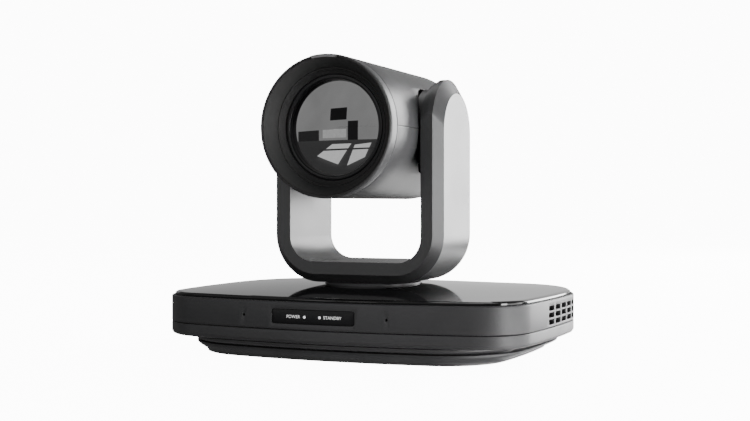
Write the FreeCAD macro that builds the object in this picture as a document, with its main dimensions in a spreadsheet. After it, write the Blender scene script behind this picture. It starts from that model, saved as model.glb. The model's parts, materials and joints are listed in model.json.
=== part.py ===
import FreeCAD, Part
import math
import os
import Sketcher
from FreeCAD import Placement, Rotation, Vector

# Pan-tilt-zoom conference camera. Millimetres, +Z up, -Y is the front.
# The origin is the middle of the footprint at the level of the rubber feet.

doc = FreeCAD.newDocument("ptz_camera")
sheet = doc.addObject("Spreadsheet::Sheet", "dims")
DIMS = (
    # base
    ("base_half_width", 120.0), ("base_front", 92.0), ("base_rear", 92.0),
    ("front_arc", 438.0), ("side_arc", 576.0), ("rear_arc", 502.0),
    ("front_corner", 34.7), ("rear_corner", 66.0), ("widest_at", 14.0),
    ("foot_drop", 1.2), ("plinth_flank", 6.2), ("plinth_rim", 1.8),
    ("foot_front", 11.4), ("foot_side", 20.4), ("foot_corner", 43.0), ("foot_rear_corner", 60.0),
    ("rim_front", 7.5), ("rim_side", 11.0), ("rim_corner", 48.0), ("rim_rear_corner", 62.0),
    ("groove_height", 2.7), ("lower_height", 8.0), ("upper_height", 16.4),
    ("wall", 2.5), ("deck", 2.5), ("floor_thick", 2.1),
    ("plate_edge", 1.6), ("plate_crown", 4.9), ("plate_inset", 2.1),
    ("plate_hole", 30.8), ("bottom_plate_thick", 1.0),
    ("foot_radius", 8.0), ("foot_thick", 2.4), ("foot_x", 72.0), ("foot_y", 44.0),
    ("tripod_bore", 3.175), ("tripod_boss", 7.0), ("tripod_depth", 8.0), ("tripod_y", -7.2),
    # indicator window, lamps, microphones, vents
    ("window_x", -2.2), ("window_width", 52.5), ("window_height", 8.4), ("window_z", 27.7),
    ("window_thick", 1.2), ("lamp_radius", 0.9), ("lamp_x", 4.8),
    ("mic_x", 45.3), ("mic_z", 27.6), ("mic_hole", 0.7), ("mic_radius", 3.0), ("mic_depth", 3.5),
    ("vent_length", 10.0), ("vent_height", 2.9), ("vent_pitch_y", 12.6), ("vent_pitch_z", 4.05),
    ("vent_z", 23.3), ("vent_y", -19.8),
    # pan drive
    ("pan_y", -7.2), ("turn_radius", 30.0), ("turn_top", 43.9), ("turn_under", 38.6),
    ("turn_boss", 20.0), ("shaft_radius", 12.0), ("shaft_bore", 8.0), ("shaft_bottom", 15.2),
    ("boss_bottom", 30.0), ("pan_bearing_outer", 16.0), ("pan_bearing_thick", 4.0),
    ("pan_housing_outer", 18.4), ("pan_gear_bottom", 25.5), ("gear_thick", 4.0),
    ("pan_distance", 36.2), ("pan_motor_radius", 16.5), ("pan_motor_height", 10.0),
    ("motor_shaft", 1.5),
    # yoke
    ("yoke_inner", 43.5), ("yoke_outer", 56.2), ("yoke_half_depth", 30.45),
    ("yoke_bottom", 43.9), ("yoke_floor", 56.8), ("inner_corner", 15.5), ("outer_corner", 30.0),
    ("bevel_x", 5.2), ("bevel_y", 5.8), ("bevel_top", 8.3), ("arm_radius", 31.4), ("band_thick", 1.8),
    ("step_width", 1.3), ("step_drop", 0.8),
    ("cavity_inner", 45.3), ("cavity_outer", 53.0), ("cavity_half", 19.0),
    # tilt drive
    ("tilt_z", 137.6), ("trunnion_radius", 8.0), ("trunnion_bore", 5.0),
    ("tilt_bearing_outer", 11.5), ("tilt_bearing_thick", 4.0), ("tilt_housing_outer", 13.6),
    ("tilt_gear_inner", 50.2), ("tilt_gear_thick", 2.4), ("tilt_distance", 24.15),
    ("tilt_motor_radius", 9.5), ("tilt_motor_thick", 4.2),
    # camera head, lengths measured from the tilt axis, minus is forward
    ("barrel_radius", 42.0), ("barrel_wall", 2.4), ("head_front", -73.0), ("cowl_seam", -63.6),
    ("head_rear", 62.0), ("rim_radius", 41.6), ("funnel_front", 40.0), ("funnel_mid", 34.4),
    ("funnel_back", 31.4), ("hub_radius", 26.0), ("hub_ring_radius", 26.4), ("hub_face", 42.0),
    ("hub_ring_face", 43.1), ("glass_radius", 28.5), ("lens_tube_radius", 30.6),
    ("lens_tube_wall", 2.0), ("lens_tube_rear", 30.0), ("group_radius", 22.0),
    ("zoom_front", -34.0), ("focus_front", 2.0), ("group_thick", 9.0), ("lens_stroke", 12.0),
    ("rod_radius", 1.5), ("rod_offset", 24.5), ("screw_radius", 1.25),
)
for number, (alias, value) in enumerate(DIMS, start=1):
    sheet.set("A%d" % number, alias)
    sheet.set("B%d" % number, str(value))
    sheet.setAlias("B%d" % number, alias)
doc.recompute()
V = {alias: float(sheet.get(alias)) for alias, value in DIMS}

# levels of the base, from the feet upwards
Z_PLINTH = V["foot_drop"]
Z_RIM = Z_PLINTH + V["plinth_flank"]
Z_GROOVE = Z_RIM + V["plinth_rim"]
Z_LOWER = Z_GROOVE + V["groove_height"]
Z_SEAM = Z_LOWER + V["lower_height"]
Z_DECK = Z_SEAM + V["upper_height"]
Z_INSIDE = Z_LOWER + V["floor_thick"]
BOARD_Z = 17.5
PAN_Y = V["pan_y"]
TILT_Z = V["tilt_z"]
UP = Rotation()
ALONG_X = Rotation(Vector(0, 1, 0), 90)
ALONG_Y = Rotation(Vector(1, 0, 0), -90)
PIECES = []


def size(item):
    """A size is the name of a sheet cell or a plain number."""
    return V[item] if isinstance(item, str) else float(item)


def bind(obj, prop, item):
    """Bind a property to its cell, or set it to a number."""
    if isinstance(item, str):
        obj.setExpression(prop, "dims." + item)
    else:
        setattr(obj, prop, item)


def keep(label, obj):
    """Name a finished piece."""
    obj.Label = label
    PIECES.append(obj)
    return obj


def at(x, y, z, rotation=UP):
    return Placement(Vector(x, y, z), rotation)


def cylinder(radius, height, place):
    obj = doc.addObject("Part::Cylinder", "cyl")
    bind(obj, "Radius", radius)
    bind(obj, "Height", height)
    obj.Placement = place
    return obj


def box(x0, x1, y0, y1, z0, z1):
    obj = doc.addObject("Part::Box", "box")
    obj.Length = x1 - x0
    obj.Width = y1 - y0
    obj.Height = z1 - z0
    obj.Placement = at(x0, y0, z0)
    return obj


def cut(base, *tools):
    obj = doc.addObject("Part::Cut", "cut")
    obj.Base = base
    obj.Tool = tools[0] if len(tools) == 1 else fuse(*tools)
    return obj


def fuse(*parts):
    obj = doc.addObject("Part::MultiFuse", "fuse")
    obj.Shapes = list(parts)
    return obj


def common(first, second):
    obj = doc.addObject("Part::Common", "common")
    obj.Base = first
    obj.Tool = second
    return obj


def group(*parts):
    """Separate identical solids that share one name."""
    obj = doc.addObject("Part::Compound", "group")
    obj.Links = list(parts)
    return obj


def solid(shape, place=None):
    """A piece whose form is a free curve or a tooth row."""
    obj = doc.addObject("Part::Feature", "solid")
    obj.Shape = shape
    if place is not None:
        obj.Placement = place
    return obj


def plane_of(body, role):
    return [f for f in body.Origin.OriginFeatures if f.Role == role][0]


def sketch_on(body, role, height, geometry):
    sk = body.newObject("Sketcher::SketchObject", "sketch")
    sk.AttachmentSupport = [(plane_of(body, role), "")]
    sk.MapMode = "FlatFace"
    sk.AttachmentOffset = at(0, 0, height)
    sk.addGeometry(geometry, False)
    return sk


def pad(body, sk, length, taper=0.0):
    feat = body.newObject("PartDesign::Pad", "pad")
    feat.Profile = sk
    bind(feat, "Length", length)
    if taper:
        feat.TaperAngle = taper
    return feat


def pocket(body, sk, length):
    """Cut downwards from the sketch."""
    feat = body.newObject("PartDesign::Pocket", "pocket")
    feat.Profile = sk
    bind(feat, "Length", length)
    return feat


def turned(points, place):
    """A body turned about its own Z: points are (radius, height) pairs."""
    body = doc.addObject("PartDesign::Body", "turned")
    flat = [(size(r), size(z)) for r, z in points]
    corners = [Vector(r, z, 0) for r, z in flat]
    lines = [Part.LineSegment(a, b) for a, b in zip(corners, corners[1:] + corners[:1])]
    sk = sketch_on(body, "XZ_Plane", 0, lines)
    for index, (r, z) in enumerate(points):
        follow = (index + 1) % len(points)
        sk.addConstraint(Sketcher.Constraint("Coincident", index, 2, follow, 1))
    for index, (r, z) in enumerate(points):
        if isinstance(r, str) and size(r) > 0:
            rule = Sketcher.Constraint("DistanceX", -1, 1, index, 1, size(r))
            number = sk.addConstraint(rule)
            sk.setExpression("Constraints[%d]" % number, "dims." + r)
        if isinstance(z, str) and size(z) > 0:
            rule = Sketcher.Constraint("DistanceY", -1, 1, index, 1, size(z))
            number = sk.addConstraint(rule)
            sk.setExpression("Constraints[%d]" % number, "dims." + z)
    feat = body.newObject("PartDesign::Revolution", "revolve")
    feat.Profile = sk
    feat.ReferenceAxis = (sk, ["V_Axis"])
    feat.Angle = 360.0
    body.Placement = place
    return body


# ---------------------------------------------------------------- base plan
def arc_meet(c1, r1, c2, r2, rear):
    """Centre of the corner arc that touches two larger arcs from inside."""
    dx, dy = c2[0] - c1[0], c2[1] - c1[1]
    gap = math.hypot(dx, dy)
    along = (r1 * r1 - r2 * r2 + gap * gap) / (2 * gap)
    off = math.sqrt(r1 * r1 - along * along)
    ex, ey = dx / gap, dy / gap
    found = []
    for sign in (1, -1):
        found.append((c1[0] + along * ex - sign * off * ey, c1[1] + along * ey + sign * off * ex))
    if rear:
        return max(found, key=lambda q: q[0] + q[1])
    return max(found, key=lambda q: q[0] - q[1])


def plan(inset, front=None, side=None, corner=None, rear_corner=None):
    """Four bowed sides and four round corners, moved inwards by inset."""
    front = inset if front is None else front
    side = inset if side is None else side
    rf, rs, rr = V["front_arc"] - front, V["side_arc"] - side, V["rear_arc"] - front
    kf = corner or max(V["front_corner"] - inset, 6.0)
    kr = rear_corner or max(V["rear_corner"] - inset, 6.0)
    cf = (0.0, -V["base_front"] + front + rf)
    cs = (V["base_half_width"] - side - rs, V["widest_at"])
    cr = (0.0, V["base_rear"] - front - rr)
    pf = arc_meet(cf, rf - kf, cs, rs - kf, False)
    pr = arc_meet(cr, rr - kr, cs, rs - kr, True)

    def on(centre, radius, angle):
        return Vector(centre[0] + radius * math.cos(angle), centre[1] + radius * math.sin(angle), 0)

    def heading(centre, target):
        return math.atan2(target[1] - centre[1], target[0] - centre[0])

    front_end = heading(cf, pf)
    side_start = heading(cs, pf)
    side_end = heading(cs, pr)
    rear_start = heading(cr, pr)
    arcs = (
        (cf, rf, -math.pi / 2, front_end), (pf, kf, front_end, side_start),
        (cs, rs, side_start, side_end), (pr, kr, side_end, rear_start),
        (cr, rr, rear_start, math.pi / 2),
    )
    right = [(on(c, r, a), on(c, r, (a + b) / 2), on(c, r, b)) for c, r, a, b in arcs]
    flip = [tuple(Vector(-p.x, p.y, 0) for p in reversed(arc)) for arc in reversed(right)]
    # the front and rear sides are each one arc across the middle
    rear_one = (right[-1][0], right[-1][2], flip[0][2])
    front_one = (flip[-1][0], flip[-1][2], right[0][2])
    return [front_one] + right[1:-1] + [rear_one] + flip[1:-1]


def plan_geometry(inset):
    return [Part.Arc(a, b, c) for a, b, c in plan(inset)]


def plan_prism(inset, z0, height):
    """Plain prism on the base plan, a tool for booleans."""
    edges = [Part.Arc(a, b, c).toShape() for a, b, c in plan(inset)]
    face = Part.Face(Part.Wire(Part.__sortEdges__(edges)))
    return solid(face.extrude(Vector(0, 0, height)), at(0, 0, z0))


def plan_body(inset, z0, height, taper=0.0):
    body = doc.addObject("PartDesign::Body", "plan")
    pad(body, sketch_on(body, "XY_Plane", z0, plan_geometry(inset)), height, taper)
    return body


# plinth: undercut flank, rim and dark groove, hollow inside
plinth = doc.addObject("PartDesign::Body", "plinth")
ends = []
foot_plan = plan(18.0, V["foot_front"], V["foot_side"], V["foot_corner"], V["foot_rear_corner"])
rim_plan = plan(7.0, V["rim_front"], V["rim_side"], V["rim_corner"], V["rim_rear_corner"])
for arcs, level in ((foot_plan, Z_PLINTH), (rim_plan, Z_RIM)):
    edges = [Part.Arc(a, b, c).toShape() for a, b, c in arcs]
    wire = Part.Wire(Part.__sortEdges__(edges))
    wire.translate(Vector(0, 0, level))
    ends.append(wire)
flank = solid(Part.makeLoft(ends, True, True))
pad(plinth, sketch_on(plinth, "XY_Plane", Z_RIM, [Part.Arc(a, b, c) for a, b, c in rim_plan]),
    "plinth_rim")
pad(plinth, sketch_on(plinth, "XY_Plane", Z_GROOVE, plan_geometry(13.0)), "groove_height")
plinth_room = plan_prism(22.0, Z_PLINTH + 2.4, Z_LOWER)
plate_gap = plan_prism(30.0, Z_PLINTH - 1, 8.0)
plate_seat = plan_prism(26.0, Z_PLINTH - 1, 1.0 + V["bottom_plate_thick"])
feet_at = [(sx * V["foot_x"], sy * V["foot_y"]) for sx in (-1, 1) for sy in (-1, 1)]
foot_wells = [cylinder("foot_radius", 1.2, at(x, y, Z_PLINTH)) for x, y in feet_at]
keep("base_plinth", cut(fuse(flank, plinth), plinth_room, plate_gap, plate_seat))
keep("rubber_feet", group(*[cylinder("foot_radius", V["foot_drop"], at(x, y, 0))
                            for x, y in feet_at]))

# bottom plate with the tripod insert in the middle of the pan axis
sheet_metal = plan_body(26.0, Z_PLINTH, "bottom_plate_thick")
tripod_hole = cylinder(V["tripod_boss"] - 2.0, 6, at(0, V["tripod_y"], 0))
screw_spots = [(sx * 56.0, sy * 46.0) for sx in (-1, 1) for sy in (-1, 0, 1)]
plate_holes = [cylinder(1.7, 6, at(x, y, 0)) for x, y in screw_spots]
keep("bottom_plate", cut(sheet_metal, tripod_hole, *plate_holes))
insert_place = at(0, V["tripod_y"], Z_PLINTH)
keep("tripod_insert", turned((("tripod_bore", 0), (V["tripod_boss"] - 2.0, 0),
                              (V["tripod_boss"] - 2.0, 1.0), ("tripod_boss", 1.0),
                              ("tripod_boss", "tripod_depth"), ("tripod_bore", "tripod_depth")),
                             insert_place))
for_screws = [fuse(cylinder(1.6, 9.0, at(x, y, Z_PLINTH)), cylinder(3.0, 0.9, at(x, y, Z_PLINTH - 0.9)))
              for x, y in screw_spots]
keep("bottom_screws", group(*for_screws))

# lower housing: open tray with a floor
lower = doc.addObject("PartDesign::Body", "lower")
pad(lower, sketch_on(lower, "XY_Plane", Z_LOWER, plan_geometry(0.0)), "lower_height")
pocket(lower, sketch_on(lower, "XY_Plane", Z_SEAM, plan_geometry(V["wall"])),
       V["lower_height"] - V["floor_thick"])
floor_bores = [cylinder(1.7, 6, at(x, y, Z_LOWER - 1)) for x, y in screw_spots]
cable_pass = cylinder(10.0, 6, at(0, PAN_Y, Z_LOWER - 1))
board_posts = [cylinder(2.6, BOARD_Z - Z_INSIDE + 0.5, at(x, y, Z_INSIDE - 0.5))
               for x, y in ((-69, 54), (69, 54), (-52, 66), (52, 66))]
keep("base_lower_housing", fuse(cut(lower, cable_pass, *floor_bores), *board_posts))

# upper housing: wall and deck, with the openings of its faces
upper = doc.addObject("PartDesign::Body", "upper")
pad(upper, sketch_on(upper, "XY_Plane", Z_SEAM, plan_geometry(0.0)), "upper_height")
hollow = plan_prism(V["wall"], Z_SEAM - 1, 1 + V["upper_height"] - V["deck"])
turn_hole = cylinder(V["turn_boss"] + 1.2, 20, at(0, PAN_Y, Z_DECK - 10))


def front_y(x, inset=0.0):
    """Y of the bowed front face at x."""
    radius = V["front_arc"] - inset
    return -V["base_front"] + inset + radius - math.sqrt(radius * radius - x * x)


def side_x(y, inset=0.0):
    radius = V["side_arc"] - inset
    centre = V["base_half_width"] - inset - radius
    return centre + math.sqrt(radius * radius - (y - V["widest_at"]) ** 2)


wx0 = V["window_x"] - V["window_width"] / 2
wx1 = V["window_x"] + V["window_width"] / 2
wz0 = V["window_z"] - V["window_height"] / 2
wz1 = V["window_z"] + V["window_height"] / 2
window_block = box(wx0, wx1, -V["base_front"] - 2, -V["base_front"] + 6, wz0, wz1)
skin_gap = cut(plan_prism(-3.0, Z_SEAM, 20), plan_prism(V["window_thick"], Z_SEAM - 1, 22))
window_seat = common(window_block, skin_gap)
mic_holes = [cylinder("mic_hole", 12, at(sx * V["mic_x"] - 2.3, -V["base_front"] - 1,
                                         V["mic_z"], ALONG_Y)) for sx in (-1, 1)]
vents = []
for side in (-1, 1):
    for column in range(5):
        y = V["vent_y"] + column * V["vent_pitch_y"]
        for row in range(3):
            z = V["vent_z"] + row * V["vent_pitch_z"]
            vents.append(box(side * 121 - 8, side * 121 + 8, y - V["vent_length"] / 2,
                             y + V["vent_length"] / 2, z - V["vent_height"] / 2,
                             z + V["vent_height"] / 2))
PANEL_Y = 82.0
PANEL_HALF = 78.0
PANEL_Z0, PANEL_Z1 = 21.6, 33.4
rear_gap = box(-PANEL_HALF, PANEL_HALF, PANEL_Y, 96, PANEL_Z0, PANEL_Z1)
keep("base_upper_housing", cut(upper, hollow, turn_hole, window_seat, rear_gap,
                               *(mic_holes + vents)))

# smoked indicator window that follows the bowed front
window_skin = cut(plan_prism(0.15, Z_SEAM, 20), plan_prism(V["window_thick"], Z_SEAM - 1, 22))
window_core = box(wx0 + 0.15, wx1 - 0.15, -V["base_front"] - 2, -V["base_front"] + 6,
                  wz0 + 0.15, wz1 - 0.15)
lamp_spots = [V["window_x"] + s * V["lamp_x"] for s in (-1, 1)]
lamp_bores = [cylinder("lamp_radius", 6, at(x, -V["base_front"] - 2, V["window_z"], ALONG_Y))
              for x in lamp_spots]
keep("indicator_window", cut(common(window_core, window_skin), *lamp_bores))
keep("indicator_lamps", group(*[cylinder("lamp_radius", 0.85,
                                         at(x, front_y(x) + 0.3, V["window_z"], ALONG_Y))
                                for x in lamp_spots]))
mic_place = [(sx * V["mic_x"] - 2.3) for sx in (-1, 1)]
keep("microphones", group(*[cylinder("mic_radius", "mic_depth",
                                     at(x, front_y(x, V["wall"]) + 0.4, V["mic_z"], ALONG_Y))
                            for x in mic_place]))

# crowned glossy top plate: level rim, gently domed middle
grid = []
for i in range(9):
    row = []
    for j in range(9):
        u, v = (i - 4) / 4.0, (j - 4) / 4.0
        rise = V["plate_crown"] * 1.02 * (1 - u * u) * (1 - v * v)
        row.append(Vector(u * 122, v * 94, Z_DECK + V["plate_edge"] + rise))
    grid.append(row)
dome = Part.BSplineSurface()
dome.interpolate(grid)
above_dome = solid(dome.toShape().extrude(Vector(0, 0, 20)))
under_dome = solid(dome.toShape().extrude(Vector(0, 0, -20)), at(0, 0, -V["plate_edge"]))
under_room = common(plan_prism(12.0, Z_DECK - 1, 12.0), under_dome)
plate_hole = cylinder("plate_hole", 30, at(0, PAN_Y, Z_DECK - 5))
keep("base_top_plate", cut(plan_body(V["plate_inset"], Z_DECK, 9.0), above_dome, under_room,
                           plate_hole))

# rear connector panel, main board, sockets and heat sink
def socket_block(x0, x1, z0, z1, depth=14.0, proud=1.4):
    return box(x0, x1, PANEL_Y + 1.6 + proud - depth, PANEL_Y + 1.6 + proud, z0, z1)


SOCKETS = {
    "power_inlet": (-68.0, 9.0, 11.0), "network_socket": (-42.0, 16.0, 10.6),
    "video_socket": (-12.0, 15.0, 6.2), "usb_socket": (14.0, 13.0, 6.2),
}
panel = box(-PANEL_HALF, PANEL_HALF, PANEL_Y, PANEL_Y + 1.6, PANEL_Z0, PANEL_Z1)
panel_gaps = []
for name, (mid, wide, tall) in SOCKETS.items():
    z1 = PANEL_Z0 + 0.6 + tall
    panel_gaps.append(box(mid - wide / 2, mid + wide / 2, PANEL_Y - 2, PANEL_Y + 4,
                          PANEL_Z0 + 0.6, z1))
BNC_X, JACK_X = 42.0, (60.0, 70.0)
ROUND_Z = 27.5
panel_gaps.append(cylinder(4.8, 8, at(BNC_X, PANEL_Y - 2, ROUND_Z, ALONG_Y)))
for x in JACK_X:
    panel_gaps.append(cylinder(3.0, 8, at(x, PANEL_Y - 2, ROUND_Z, ALONG_Y)))
keep("rear_connector_panel", cut(panel, *panel_gaps))
flat_sockets = []
for name, (mid, wide, tall) in SOCKETS.items():
    z0 = PANEL_Z0 + 0.6
    z1 = z0 + tall
    block = socket_block(mid - wide / 2, mid + wide / 2, z0, z1)
    front = PANEL_Y + 3.0
    if name == "power_inlet":
        ring = cylinder(3.2, 9, at(mid, front - 8, z0 + tall / 2, ALONG_Y))
        pin = cylinder(1.0, 8, at(mid, front - 9, z0 + tall / 2, ALONG_Y))
        keep(name, fuse(cut(block, ring), pin))
    elif name == "network_socket":
        mouth = box(mid - 6.2, mid + 6.2, front - 11, front + 1, z0 + 1.2, z0 + 8.0)
        clip = box(mid - 3.0, mid + 3.0, front - 11, front + 1, z0 + 7.0, z0 + 9.4)
        keep(name, cut(block, mouth, clip))
    else:
        mouth = box(mid - wide / 2 + 0.6, mid + wide / 2 - 0.6, front - 10, front + 1,
                    z0 + 0.6, z1 - 0.6)
        tongue = box(mid - wide / 2 + 2, mid + wide / 2 - 2, front - 10.5, front - 1.5,
                     z0 + tall / 2 - 0.7, z0 + tall / 2 + 0.7)
        flat_sockets.append(fuse(cut(block, mouth), tongue))
keep("video_and_usb_sockets", group(*flat_sockets))
shell = cylinder(4.8, 22, at(BNC_X, PANEL_Y - 10, ROUND_Z, ALONG_Y))
bore = cylinder(3.9, 9, at(BNC_X, PANEL_Y + 4, ROUND_Z, ALONG_Y))
pin = cylinder(1.0, 8.5, at(BNC_X, PANEL_Y + 3, ROUND_Z, ALONG_Y))
lugs = cylinder(1.0, 11.6, at(BNC_X - 5.8, PANEL_Y + 9.0, ROUND_Z, ALONG_X))
keep("bnc_socket", fuse(cut(fuse(shell, lugs), bore), pin))
jacks = []
for x in JACK_X:
    body = cylinder(3.0, 15, at(x, PANEL_Y - 12, ROUND_Z, ALONG_Y))
    jacks.append(cut(body, cylinder(1.75, 12, at(x, PANEL_Y - 8, ROUND_Z, ALONG_Y))))
keep("audio_jacks", group(*jacks))
board = box(-74, 74, 50, 79, BOARD_Z, BOARD_Z + 1.6)
keep("main_board", board)
sink = box(-40, 0, 50.5, 66, BOARD_Z + 1.6, BOARD_Z + 4)
fins = [box(-40 + 4.8 * n, -38.4 + 4.8 * n, 50.5, 66, BOARD_Z + 3.5, BOARD_Z + 13)
        for n in range(9)]
keep("heat_sink", fuse(sink, *fins))

# ---------------------------------------------------------------- gears
def gear_solid(module, teeth, bore, thick, slack, phase=0.0):
    """Straight-flanked spur gear, tooth flanks thinned by slack for backlash."""
    pitch = module * teeth / 2.0
    tip = pitch + 0.85 * module
    root = pitch - 1.15 * module
    step = 2 * math.pi / teeth
    points = []
    for tooth in range(teeth):
        middle = tooth * step + phase
        half_pitch = math.pi * module / 4.0 - slack
        lean = math.tan(math.radians(20))
        for radius, side in ((root, -1), (tip, -1), (tip, 1), (root, 1)):
            half = half_pitch + (pitch - radius) * lean
            angle = middle + side * half / radius
            points.append(Vector(radius * math.cos(angle), radius * math.sin(angle), 0))
    wire = Part.makePolygon(points + points[:1])
    blank = Part.Face(wire).extrude(Vector(0, 0, thick))
    if bore > 0:
        blank = blank.cut(Part.makeCylinder(bore, thick + 2, Vector(0, 0, -1)))
    return blank


# ---------------------------------------------------------------- pan drive
pan_at = at(0, PAN_Y, 0)
keep("turntable", turned((("shaft_bore", "shaft_bottom"), ("shaft_radius", "shaft_bottom"),
                          ("shaft_radius", "boss_bottom"), ("turn_boss", "boss_bottom"),
                          ("turn_boss", "turn_under"), ("turn_radius", "turn_under"),
                          ("turn_radius", "turn_top"), ("shaft_bore", "turn_top")), pan_at))
pan_blank = gear_solid(1.0, 60, V["shaft_radius"], V["gear_thick"], 0.09)
keep("pan_gear", solid(pan_blank, at(0, PAN_Y, V["pan_gear_bottom"])))
low_bearing = V["shaft_bottom"] + 0.3
high_bearing = low_bearing + V["pan_bearing_thick"] + 0.8
race = []
for z in (low_bearing, high_bearing):
    race.append(cut(cylinder("pan_bearing_outer", "pan_bearing_thick", at(0, PAN_Y, z)),
                    cylinder(V["shaft_radius"] + 0.04, 10, at(0, PAN_Y, z - 2))))
keep("pan_bearings", group(*race))
housing_top = high_bearing + V["pan_bearing_thick"]
keep("pan_bearing_housing", turned(((13.0, Z_INSIDE), (19.0, Z_INSIDE), (19.0, Z_INSIDE + 1.2),
                                    ("pan_housing_outer", Z_INSIDE + 1.2),
                                    ("pan_housing_outer", housing_top),
                                    ("pan_bearing_outer", housing_top),
                                    ("pan_bearing_outer", low_bearing), (13.0, low_bearing)),
                                   pan_at))
drive_y = PAN_Y + V["pan_distance"]
can = cylinder("pan_motor_radius", "pan_motor_height", at(0, drive_y, Z_INSIDE))
can_bore = cylinder(V["motor_shaft"] + 0.04, 12, at(0, drive_y, Z_INSIDE + 2))
ears = box(-22, 22, drive_y - 4, drive_y + 4, Z_INSIDE + V["pan_motor_height"] - 1,
           Z_INSIDE + V["pan_motor_height"])
keep("pan_motor", cut(fuse(can, ears), can_bore))
pan_teeth = gear_solid(1.0, 12, 0, V["gear_thick"], 0.09, -math.pi / 2 + math.pi / 12)
pan_stub = Part.makeCylinder(V["motor_shaft"], 9.0, Vector(0, 0, -8.6))
keep("pan_pinion", solid(pan_teeth.fuse(pan_stub), at(0, drive_y, V["pan_gear_bottom"])))
sensor = box(33, 41, PAN_Y - 4, PAN_Y + 4, 24.5, 31.5)
sensor_slot = box(29, 38.5, PAN_Y - 5, PAN_Y + 5, 26.6, 29.6)
leg = box(36, 41, PAN_Y - 3, PAN_Y + 3, Z_INSIDE, 24.5)
keep("pan_home_sensor", fuse(cut(sensor, sensor_slot), leg))

# ---------------------------------------------------------------- yoke
def u_outline(half, bottom, corner, top):
    """Closed upright outline in XZ with two round lower corners."""
    k = corner * (1 - math.sqrt(0.5))
    a = Part.LineSegment(Vector(-half + corner, 0, bottom), Vector(half - corner, 0, bottom))
    b = Part.Arc(Vector(half - corner, 0, bottom), Vector(half - k, 0, bottom + k),
                 Vector(half, 0, bottom + corner))
    c = Part.LineSegment(Vector(half, 0, bottom + corner), Vector(half, 0, top))
    d = Part.LineSegment(Vector(half, 0, top), Vector(-half, 0, top))
    e = Part.LineSegment(Vector(-half, 0, top), Vector(-half, 0, bottom + corner))
    f = Part.Arc(Vector(-half, 0, bottom + corner), Vector(-half + k, 0, bottom + k),
                 Vector(-half + corner, 0, bottom))
    return Part.Wire([g.toShape() for g in (a, b, c, d, e, f)])


def u_prism(half, bottom, corner, top, y0, y1):
    wire = u_outline(half, bottom, corner, top)
    wire.translate(Vector(0, y0, 0))
    return Part.Face(wire).extrude(Vector(0, y1 - y0, 0))


def panel_centre():
    """Height of the round top of the side panels."""
    return TILT_Z + V["arm_radius"] - V["bevel_top"] - (V["yoke_half_depth"] - V["bevel_y"])


def yoke_block():
    """Outside of the yoke: bevelled front, back and arm tops."""
    half, low, corner, top = V["yoke_outer"], V["yoke_bottom"], V["outer_corner"], 180.0
    bx, by, deep = V["bevel_x"], V["bevel_y"], V["yoke_half_depth"]
    block = u_prism(half, low, corner, top, -deep + by, deep - by)
    for sign in (-1, 1):
        big = u_outline(half, low, corner, top)
        big.translate(Vector(0, sign * (deep - by), 0))
        small = u_outline(half - bx, low + bx, corner - bx, top)
        small.translate(Vector(0, sign * deep, 0))
        block = block.fuse(Part.makeLoft([big, small], True, True))
    face_r = V["arm_radius"]
    cheek = Part.makeCylinder(face_r, 2 * (half - bx), Vector(-half + bx, 0, TILT_Z), Vector(1, 0, 0))
    for sign in (-1, 1):
        wide = Part.makeCircle(face_r, Vector(sign * (half - bx), 0, TILT_Z), Vector(1, 0, 0))
        tight = Part.makeCircle(deep - by, Vector(sign * half, 0, panel_centre()), Vector(1, 0, 0))
        cheek = cheek.fuse(Part.makeLoft([Part.Wire(wide), Part.Wire(tight)], True, True))
    below = Part.makeBox(200, 100, TILT_Z - 1.0, Vector(-100, -50, 0))
    block = block.common(cheek.fuse(below))
    gap = u_prism(V["yoke_inner"], V["yoke_floor"], V["inner_corner"], 190.0, -40, 40)
    block = block.cut(gap)
    # three shallow steps round the inner edge of each arm top
    for number in (1, 2, 3):
        reach = V["yoke_inner"] + (4 - number) * V["step_width"]
        above = Part.makeBox(2 * reach, 100, 60, Vector(-reach, -50, TILT_Z))
        drop = TILT_Z - number * V["step_drop"]
        kept = Part.makeCylinder(face_r, 2 * reach, Vector(-reach, 0, drop), Vector(1, 0, 0))
        block = block.cut(above.cut(kept))
    return block


def yoke_band(slack):
    """The flush strip that wraps the outside of the yoke."""
    half, low, corner = V["yoke_outer"], V["yoke_bottom"], V["outer_corner"]
    deep = V["yoke_half_depth"] - V["bevel_y"] - slack
    thick = V["band_thick"]
    strip = u_prism(half, low, corner, 180.0, -deep, deep)
    strip = strip.cut(u_prism(half - thick, low + thick, corner - thick, 190.0, -50, 50))
    cheek = Part.makeCylinder(deep, 200, Vector(-100, 0, panel_centre()), Vector(1, 0, 0))
    below = Part.makeBox(200, 100, panel_centre(), Vector(-100, -50, 0))
    strip = strip.common(cheek.fuse(below))
    centre = Part.makeCylinder(V["turn_radius"] * 0.9, 20, Vector(0, 0, low - 5))
    return strip.cut(centre)


def arm_tool(radius, x0, x1, side, dz=0.0):
    start = Vector(side * x0, 0, TILT_Z + dz)
    return Part.makeCylinder(radius, x1 - x0, start, Vector(side, 0, 0))


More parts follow.
